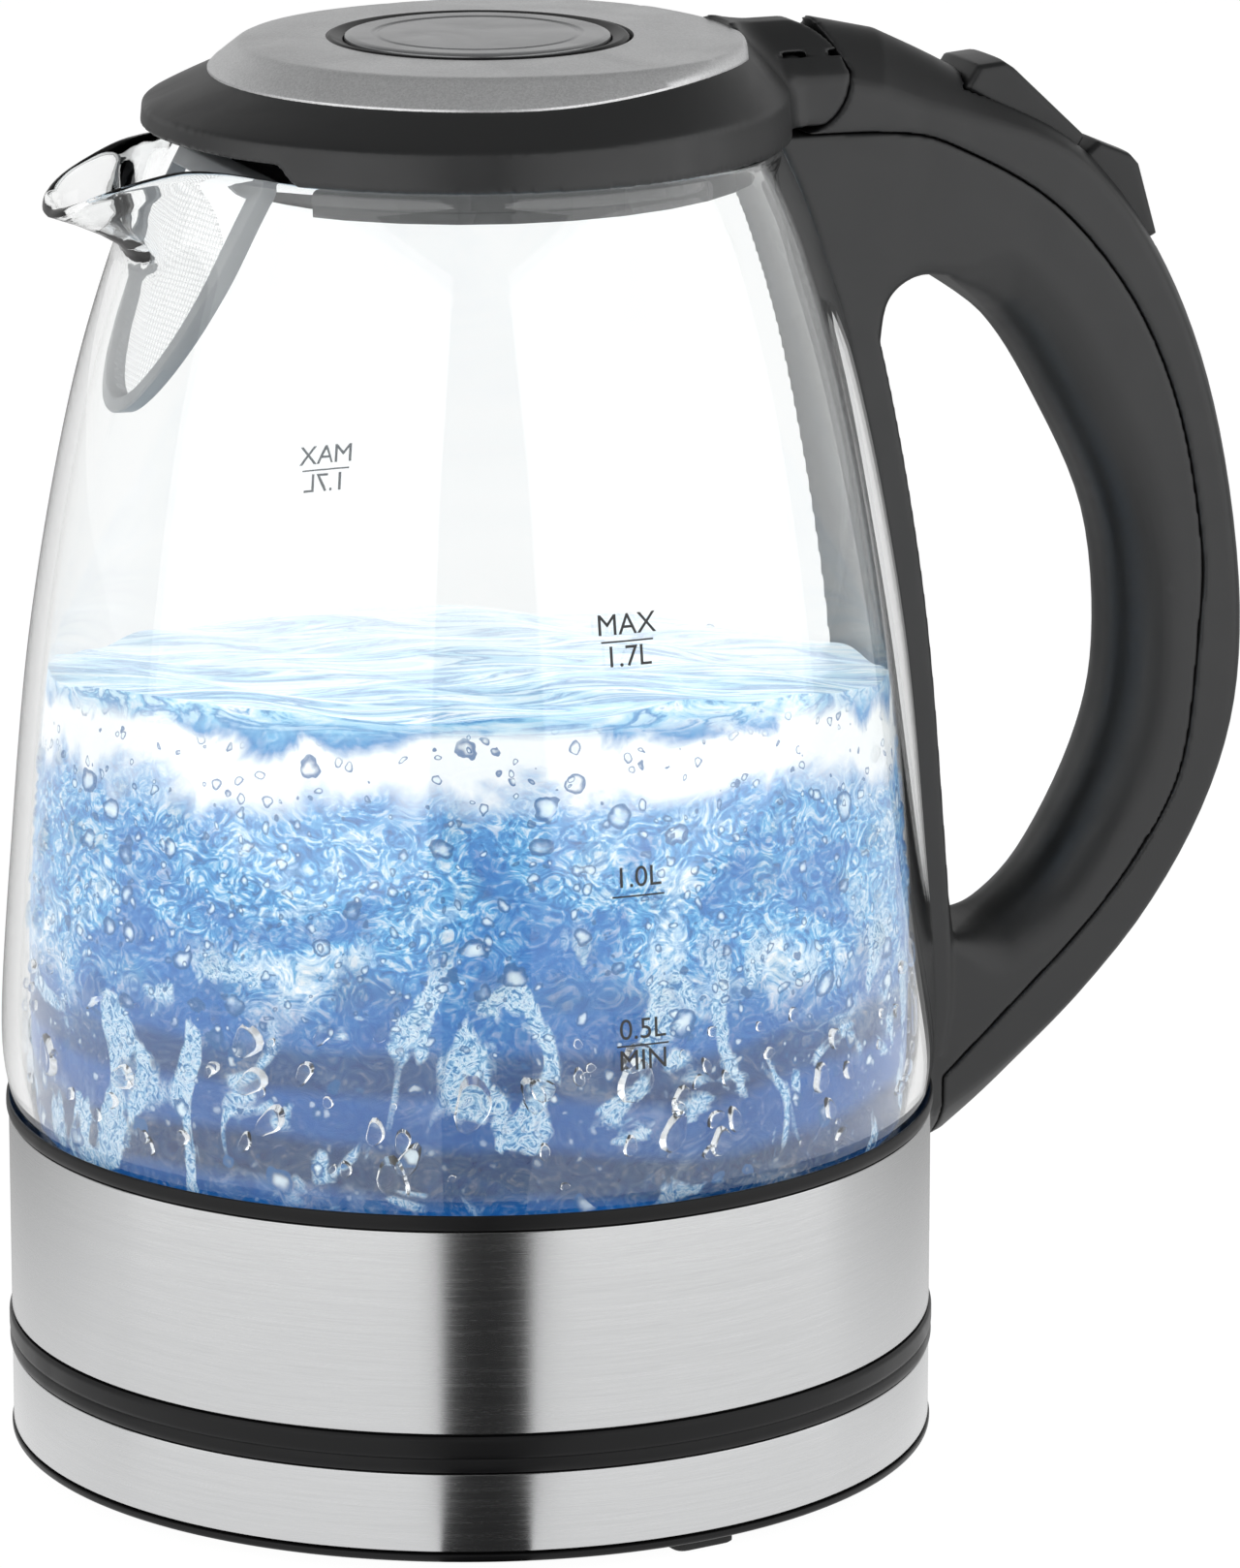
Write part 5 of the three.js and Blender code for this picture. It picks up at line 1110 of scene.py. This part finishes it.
def make_glowing_water_paint():
    """Boiling water: foam under the surface, blue turbulence below it, dark depths with rising bubbles; the colours
    are emitted as a painted glow.
    """
    made, tree, shader = finish("glowing_boiling_water")
    place = tree.nodes.new("ShaderNodeTexCoord").outputs["Object"]

    def noise(scale, detail=4.0, distortion=0.0, rough=0.55, stretch=(1, 1, 1), shift=0.0):
        spread = put(tree, "ShaderNodeMapping", {0: place}, vector_type="POINT")
        spread.inputs["Scale"].default_value = stretch
        spread.inputs["Location"].default_value = (shift, shift, shift)
        return put(tree, "ShaderNodeTexNoise", {"Vector": spread.outputs[0], "Scale": scale, "Detail": detail,
                                                "Distortion": distortion, "Roughness": rough}).outputs["Fac"]

    parts = put(tree, "ShaderNodeSeparateXYZ", {0: place}).outputs
    deep, side = along_way(tree, place, VIEW_DEPTH), along_way(tree, place, VIEW_SIDE)
    level = math_node(tree, "SUBTRACT", WATER_LEVEL * MM, math_node(tree, "MULTIPLY", deep, WATER_SLOPE))
    below = math_node(tree, "MULTIPLY", math_node(tree, "SUBTRACT", level, parts[2]), 1 / MM)
    waver = math_node(tree, "MULTIPLY", math_node(tree, "SUBTRACT", noise(45, 5, 0.6), 0.5), 26.0)
    drift = math_node(tree, "ADD", below, waver)
    share = math_node(tree, "DIVIDE", drift, 88.0, True)
    base = ramp(tree, share, [
        (0.0, hue(90, 170, 218)), (0.03, hue(40, 130, 195)), (0.06, hue(246, 250, 250)),
        (0.13, hue(246, 250, 252)), (0.19, hue(104, 160, 214)), (0.30, hue(84, 160, 214)),
        (0.42, hue(72, 156, 212)), (0.53, hue(48, 116, 184)), (0.66, hue(26, 82, 154)),
        (0.8, hue(14, 56, 116)), (0.93, hue(12, 44, 92)), (1.0, hue(36, 86, 150))])
    swirl = noise(190, 9, 3.4, 0.64, (1, 1, 1.25))
    churn = ramp(tree, swirl, [(0.34, hue(8, 70, 140)), (0.45, hue(38, 128, 200)), (0.52, hue(100, 184, 230)),
                               (0.6, hue(226, 243, 251)), (0.7, hue(252, 254, 254))])
    zone = ramp(tree, share, [(0.0, 0.25), (0.06, 0.0), (0.14, 0.05), (0.2, 0.7), (0.45, 0.8), (0.58, 0.3),
                              (0.75, 0.08), (1.0, 0.2)])
    paint = mix_color(tree, zone, base, churn)
    broad = noise(34, 5, 1.6, 0.6, (1, 1, 1.5), 1.7)
    belt = ramp(tree, share, [(0.15, 0.0), (0.24, 1.0), (0.5, 1.0), (0.66, 0.35)])
    dusk = math_node(tree, "MULTIPLY", ramp(tree, broad, [(0.36, 0.72), (0.5, 0.0)]), belt)
    paint = mix_color(tree, dusk, paint, hue(20, 104, 184))
    froth = math_node(tree, "MULTIPLY", ramp(tree, broad, [(0.54, 0.0), (0.64, 0.75)]), belt)
    light_churn = ramp(tree, swirl, [(0.36, hue(96, 176, 224)), (0.48, hue(214, 236, 248)),
                                     (0.6, hue(254, 254, 254))])
    paint = mix_color(tree, froth, paint, light_churn)
    # Painted dark arcs low in the water: the heater plate's rings as seen through it, painted in.
    painted_heater_arcs = put(tree, "ShaderNodeTexWave", {"Vector": place, "Scale": 19.0, "Distortion": 5.0, "Detail": 2.0,
                                           "Detail Scale": 0.5}, bands_direction="Z")
    depth = ramp(tree, share, [(0.5, 0.0), (0.66, 1.0)])
    shade = ramp(tree, painted_heater_arcs.outputs["Fac"], [(0.25, hue(8, 28, 64)), (0.7, hue(34, 96, 170))])
    paint = mix_color(tree, math_node(tree, "MULTIPLY", depth, 0.5), paint, shade)
    lumps = ramp(tree, noise(62, 3, 1.4, 0.5, (1, 1, 0.75), 0.3), [(0.555, 0.0), (0.6, 1.0)])
    crinkle = ramp(tree, noise(330, 7, 4.0, 0.6, (1, 1, 1), 0.7),
                   [(0.38, hue(44, 116, 176)), (0.48, hue(150, 195, 226)), (0.56, hue(226, 240, 248)),
                    (0.64, hue(70, 140, 195)), (0.72, hue(240, 248, 252))])
    gather = ramp(tree, share, [(0.38, 0.0), (0.5, 1.0), (0.9, 0.85), (1.0, 0.2)])
    paint = mix_color(tree, math_node(tree, "MULTIPLY", lumps, gather), paint, crinkle)
    bent = put(tree, "ShaderNodeTexNoise", {"Vector": place, "Scale": 260.0, "Detail": 2.0})
    pushed = put(tree, "ShaderNodeVectorMath", {0: bent.outputs["Color"], 3: 0.0034}, operation="SCALE")
    moved = put(tree, "ShaderNodeVectorMath", {0: place, 1: pushed.outputs[0]}, operation="ADD").outputs[0]
    # Painted bubbles: a painted highlight in each middle and a painted dark edge round it, where light bends through
    # the gas.
    for scale, keep, zones in ((175.0, 0.72, [(0.05, 0.0), (0.09, 1.0), (0.9, 1.0), (1.0, 0.3)]),
                               (420.0, 0.6, [(0.04, 0.0), (0.07, 1.0), (0.6, 0.9), (0.9, 0.2)])):
        cells = put(tree, "ShaderNodeTexVoronoi", {"Vector": moved, "Scale": scale})
        chance = put(tree, "ShaderNodeSeparateColor", {0: cells.outputs["Color"]}).outputs
        kept = math_node(tree, "GREATER_THAN", chance[0], keep)
        near = math_node(tree, "DIVIDE", cells.outputs["Distance"], scaled(tree, chance[1], 0.25, 0.2))
        rim = ramp(tree, near, [(0.55, 0.0), (0.8, 1.0), (0.97, 1.0), (1.0, 0.0)])
        painted_bubble_highlight = ramp(tree, near, [(0.0, 1.0), (0.35, 0.8), (0.6, 0.3), (0.8, 0.0)])
        where = math_node(tree, "MULTIPLY", kept, ramp(tree, share, zones))
        paint = mix_color(tree, math_node(tree, "MULTIPLY", painted_bubble_highlight, where), paint, hue(228, 243, 250))
        paint = mix_color(tree, math_node(tree, "MULTIPLY", math_node(tree, "MULTIPLY", rim, where), 0.85),
                          paint, hue(24, 92, 150))
    lines = put(tree, "ShaderNodeCombineXYZ", {
        0: math_node(tree, "MULTIPLY", side, 14.0), 1: math_node(tree, "MULTIPLY", deep, 90.0),
        2: math_node(tree, "MULTIPLY", parts[2], 150.0)})
    wavelets = put(tree, "ShaderNodeTexNoise", {"Vector": lines.outputs[0], "Scale": 1.6, "Detail": 6.0,
                                                "Distortion": 1.0, "Roughness": 0.6}).outputs["Fac"]
    skin = ramp(tree, wavelets, [(0.3, hue(240, 249, 252)), (0.42, hue(190, 224, 242)), (0.47, hue(40, 125, 190)),
                                 (0.52, hue(150, 208, 236)), (0.62, hue(236, 247, 251)), (0.68, hue(70, 150, 205)),
                                 (0.74, hue(225, 243, 250))])
    facing = put(tree, "ShaderNodeSeparateXYZ", {0: tree.nodes.new("ShaderNodeNewGeometry").outputs["Normal"]})
    top = ramp(tree, facing.outputs[2], [(0.5, 0.0), (0.7, 1.0)])
    brink = ramp(tree, math_node(tree, "DIVIDE", below, 10.0, True), [(0.0, 1.0), (0.22, 0.6), (0.42, 0.0)])
    far = ramp(tree, scaled(tree, deep, 6.5, 0.4), [(0.0, 0.0), (1.0, 0.8)])
    skin = mix_color(tree, far, skin, hue(238, 246, 250))
    paint = mix_color(tree, math_node(tree, "MAXIMUM", top, brink), paint, skin)
    # Painted glow: the colours are dimmed as a surface and emitted as light, so the water shines as if lit from
    # inside.
    tree.links.new(mix_color(tree, 1.0, paint, (0.3, 0.3, 0.3), "MULTIPLY"), shader.inputs["Base Color"])
    tree.links.new(paint, shader.inputs["Emission Color"])
    shader.inputs["Emission Strength"].default_value = 0.74
    tree.links.new(ramp(tree, swirl, [(0.3, 0.12), (0.7, 0.3)]), shader.inputs["Roughness"])
    bump(tree, shader, swirl, 0.3, 0.0006)
    return made


def make_water():
    columns, rows, rings = 300, 70, 26
    floor_height = PLATE_TOP + 0.3
    points = []

    def wall(height):
        return float(glass_radius(height)) - GLASS_WALL - WATER_GAP

    for row in range(rows + 1):
        for k in range(columns):
            angle = 2 * math.pi * k / columns
            top = water_height(wall(WATER_LEVEL) * math.cos(angle), wall(WATER_LEVEL) * math.sin(angle))
            height = floor_height + (top - floor_height) * row / rows
            radius = min(wall(height), 76.0) - (0.5 if row == 0 else 0)
            points.append((radius * math.cos(angle), radius * math.sin(angle), height))
    for ring in range(1, rings):
        for k in range(columns):
            angle = 2 * math.pi * k / columns
            radius = wall(WATER_LEVEL) * (1 - ring / rings)
            x, y = radius * math.cos(angle), radius * math.sin(angle)
            points.append((x, y, water_height(x, y)))
    levels = rows + rings
    faces = bands(columns, levels)
    points += [(0, 0, water_height(0, 0)), (0, 0, floor_height)]
    for k in range(columns):
        n = (k + 1) % columns
        last = (levels - 1) * columns
        faces.append((last + k, last + n, len(points) - 2))
        faces.append((n, k, len(points) - 1))
    mesh = new_mesh("glowing_boiling_water", points, faces)
    add_object("glowing_boiling_water", mesh, "kettle", make_glowing_water_paint(), sharp=50)


def make_bubbles():
    """Clear domes of gas that cling to the wall of the water, flatter than they are wide."""
    draw = random.Random(17)
    made, tree, shader = finish("bubble_skin")
    masks = use(tree, MOULDED_GRAIN, Grain_Scale=900.0, Tone=0.2)
    tree.links.new(ramp(tree, masks["Gloss Mask"], [(0.3, 0.0), (0.8, 0.06)]), shader.inputs["Roughness"])
    shader.inputs["Base Color"].default_value = (0.97, 0.99, 1, 1)
    shader.inputs["Transmission Weight"].default_value = 1
    shader.inputs["IOR"].default_value = 1.3
    points, faces = [], []
    steps, sides = 7, 14
    for _ in range(420):
        angle = draw.uniform(0, 2 * math.pi)
        share = draw.random()
        height = PLATE_TOP + 6 + share * (WATER_LEVEL - PLATE_TOP - 14)
        size = draw.uniform(0.5, 1.5) if draw.random() < 0.75 else draw.uniform(1.5, 3.4)
        tall, lean = size * draw.uniform(0.7, 1.5), draw.uniform(-0.8, 0.8)
        base = float(glass_radius(height)) - GLASS_WALL - WATER_GAP
        proud = min(0.3 * size + 0.15, WATER_GAP - 0.25)
        first = len(points)
        lobes = [draw.uniform(0.75, 1.15) for _ in range(5)]  # the first two are used
        for step in range(steps):
            spread = math.sin(0.5 * math.pi * (1 - step / steps)) if step else 1
            lift = proud * math.sin(0.5 * math.pi * step / steps) - (0.35 if step == 0 else 0)
            for k in range(sides):
                turn = 2 * math.pi * k / sides
                lobe = 1 + 0.14 * math.sin(2 * turn + lobes[0] * 6) + 0.1 * math.sin(3 * turn + lobes[1] * 9)
                u, v = size * spread * lobe * math.cos(turn), tall * spread * lobe * math.sin(turn)
                u += lean * v * 0.4
                r = base + lift - (base - float(glass_radius(height + v)) + GLASS_WALL + WATER_GAP)
                a = angle + u / base
                points.append((r * math.cos(a), r * math.sin(a), height + v))
        points.append(((base + proud) * math.cos(angle), (base + proud) * math.sin(angle), height))
        points.append(((base - 0.5) * math.cos(angle), (base - 0.5) * math.sin(angle), height))
        faces += bands(sides, steps, first)
        for k in range(sides):
            n = (k + 1) % sides
            last = first + (steps - 1) * sides
            faces.append((last + k, last + n, len(points) - 2))
            faces.append((first + n, first + k, len(points) - 1))
    add_object("wall_bubbles", new_mesh("wall_bubbles", points, faces), "kettle", made, sharp=0)


def make_marks():
    """Printed level scale on both sides of the glass."""
    made, tree, shader = finish("scale_ink")
    masks = use(tree, MOULDED_GRAIN, Grain_Scale=1200.0, Tone=0.3)
    shade = math_node(tree, "ADD", masks["Tone Mask"], 0.5, True)
    tree.links.new(mix_color(tree, shade, (0.02, 0.021, 0.022), (0.05, 0.051, 0.053)),
                   shader.inputs["Base Color"])
    tree.links.new(ramp(tree, masks["Gloss Mask"], [(0.3, 0.45), (0.7, 0.6)]), shader.inputs["Roughness"])
    letter, line_wide, line_tall = 4.9, 9.2, 0.28

    def wrap(mesh, azimuth, centre):
        for vertex in mesh.vertices:
            u, v, lift = vertex.co.x, vertex.co.y, vertex.co.z
            height = centre + v
            radius = float(glass_radius(height)) + 0.06 + lift
            angle = math.radians(azimuth) + u / radius
            vertex.co = (radius * math.cos(angle) * MM, radius * math.sin(angle) * MM, height * MM)

    def word(label, azimuth, centre):
        curve = bpy.data.curves.new(label, "FONT")
        curve.body, curve.size, curve.extrude = label, letter, 0.02
        curve.align_x, curve.align_y = "CENTER", "CENTER"
        curve.resolution_u = 6
        holder = loose(label, curve)
        graph = bpy.context.evaluated_depsgraph_get()
        mesh = bpy.data.meshes.new_from_object(holder.evaluated_get(graph))
        bpy.data.objects.remove(holder)
        wrap(mesh, azimuth, centre)
        return mesh

    def rule(azimuth, centre):
        steps = 12
        points = [(line_wide * (i / steps - 0.5), s * line_tall / 2, lift)
                  for i in range(steps + 1) for s, lift in ((-1, 0), (1, 0), (1, 0.04), (-1, 0.04))]
        faces = [(4 * i + k, 4 * i + (k + 1) % 4, 4 * i + 4 + (k + 1) % 4, 4 * i + 4 + k)
                 for i in range(steps) for k in range(4)]
        faces += [(3, 2, 1, 0), tuple(4 * steps + k for k in range(4))]
        mesh = bpy.data.meshes.new("rule")
        mesh.from_pydata(points, [], faces)
        wrap(mesh, azimuth, centre)
        return mesh

    for side, azimuth in (("near", -90), ("far", 90)):
        for label, name, centre in (("MAX", "max", 160.2), ("1.7L", "top_litres", 155.0),
                                    ("1.0L", "one_litre", 118.6), ("0.5L", "half_litre", 93.2), ("MIN", "min", 88.0)):
            add_object(f"mark_{name}_{side}", word(label, azimuth, centre), "kettle", made, sharp=0)
        for name, centre in (("max", 157.6), ("one", 115.6), ("min", 90.6)):
            add_object(f"mark_rule_{name}_{side}", rule(azimuth, centre), "kettle", made, sharp=0)


def make_mesh_weave():
    """Woven strainer cloth: threads show, the holes between them are clear."""
    made, tree, shader = finish("strainer_weave")
    place = tree.nodes.new("ShaderNodeTexCoord").outputs["Object"]
    parts = put(tree, "ShaderNodeSeparateXYZ", {0: place}).outputs
    threads = []
    for axis in (1, 2):
        wave = math_node(tree, "SINE", math_node(tree, "MULTIPLY", parts[axis], 3400.0))
        beat = math_node(tree, "ABSOLUTE", wave)
        threads.append(ramp(tree, beat, [(0.3, 1.0), (0.45, 0.0)]))
    cover = math_node(tree, "MAXIMUM", *threads)
    tree.links.new(math_node(tree, "MULTIPLY", cover, 0.3), shader.inputs["Alpha"])
    speck = put(tree, "ShaderNodeTexNoise", {"Vector": place, "Scale": 700.0, "Detail": 3.0}).outputs["Fac"]
    tree.links.new(mix_color(tree, speck, (0.4, 0.41, 0.42), (0.6, 0.61, 0.62)), shader.inputs["Base Color"])
    tree.links.new(ramp(tree, speck, [(0.3, 0.4), (0.7, 0.6)]), shader.inputs["Roughness"])
    bump(tree, shader, cover, 0.3, 0.0001)
    return made


# ---------------------------------------------------------------- finishes of the model's own nodes
def finish_nodes():
    finishes = {
        INNER_BLACK: ["socket_housing", "control_block", "switch_module", "latch_slide", "connector_shutter"],
        RUBBER_BLACK: ["cord_inlet", "wiring_loom"],
        BRASS: ["socket_line_contact", "socket_neutral_contact", "socket_earth_contact", "connector_pin",
                "connector_ring", "boil_dry_disc_1", "boil_dry_disc_2", "steam_disc"],
        SCREW_STEEL: ["shutter_spring", "hinge_pin", "lid_spring", "button_spring", "handle_screw_1",
                      "handle_screw_2"],
        SILICONE: ["plate_seal", "lid_seal"],
        PLATE_STEEL: ["heating_plate"],
        ALUMINIUM: ["heat_spreader", "heating_element"],
        BOARD_GREEN: ["light_board"],
        LINER_GREY: ["lid_liner"],
        JUG_GLASS: ["light_window_1", "light_window_2"],
        make_mesh_weave(): ["filter_mesh"],
    }
    for material, names in finishes.items():
        for name in names:
            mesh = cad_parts[name].data
            coat(mesh, material)
            soften(mesh, 30)


make_base()
for i in range(3):
    for part, ridden in (("base", "power_base"), ("skirt", "kettle"), ("lid", "lid")):
        make_screw(f"{part}_cross_screw_{i + 1}", f"{part}_screw_{i + 1}", ridden)
make_lower_body()
make_jug()
make_handle()
make_buttons()
make_lid()
make_filter()
make_water()
make_bubbles()
make_marks()
finish_nodes()
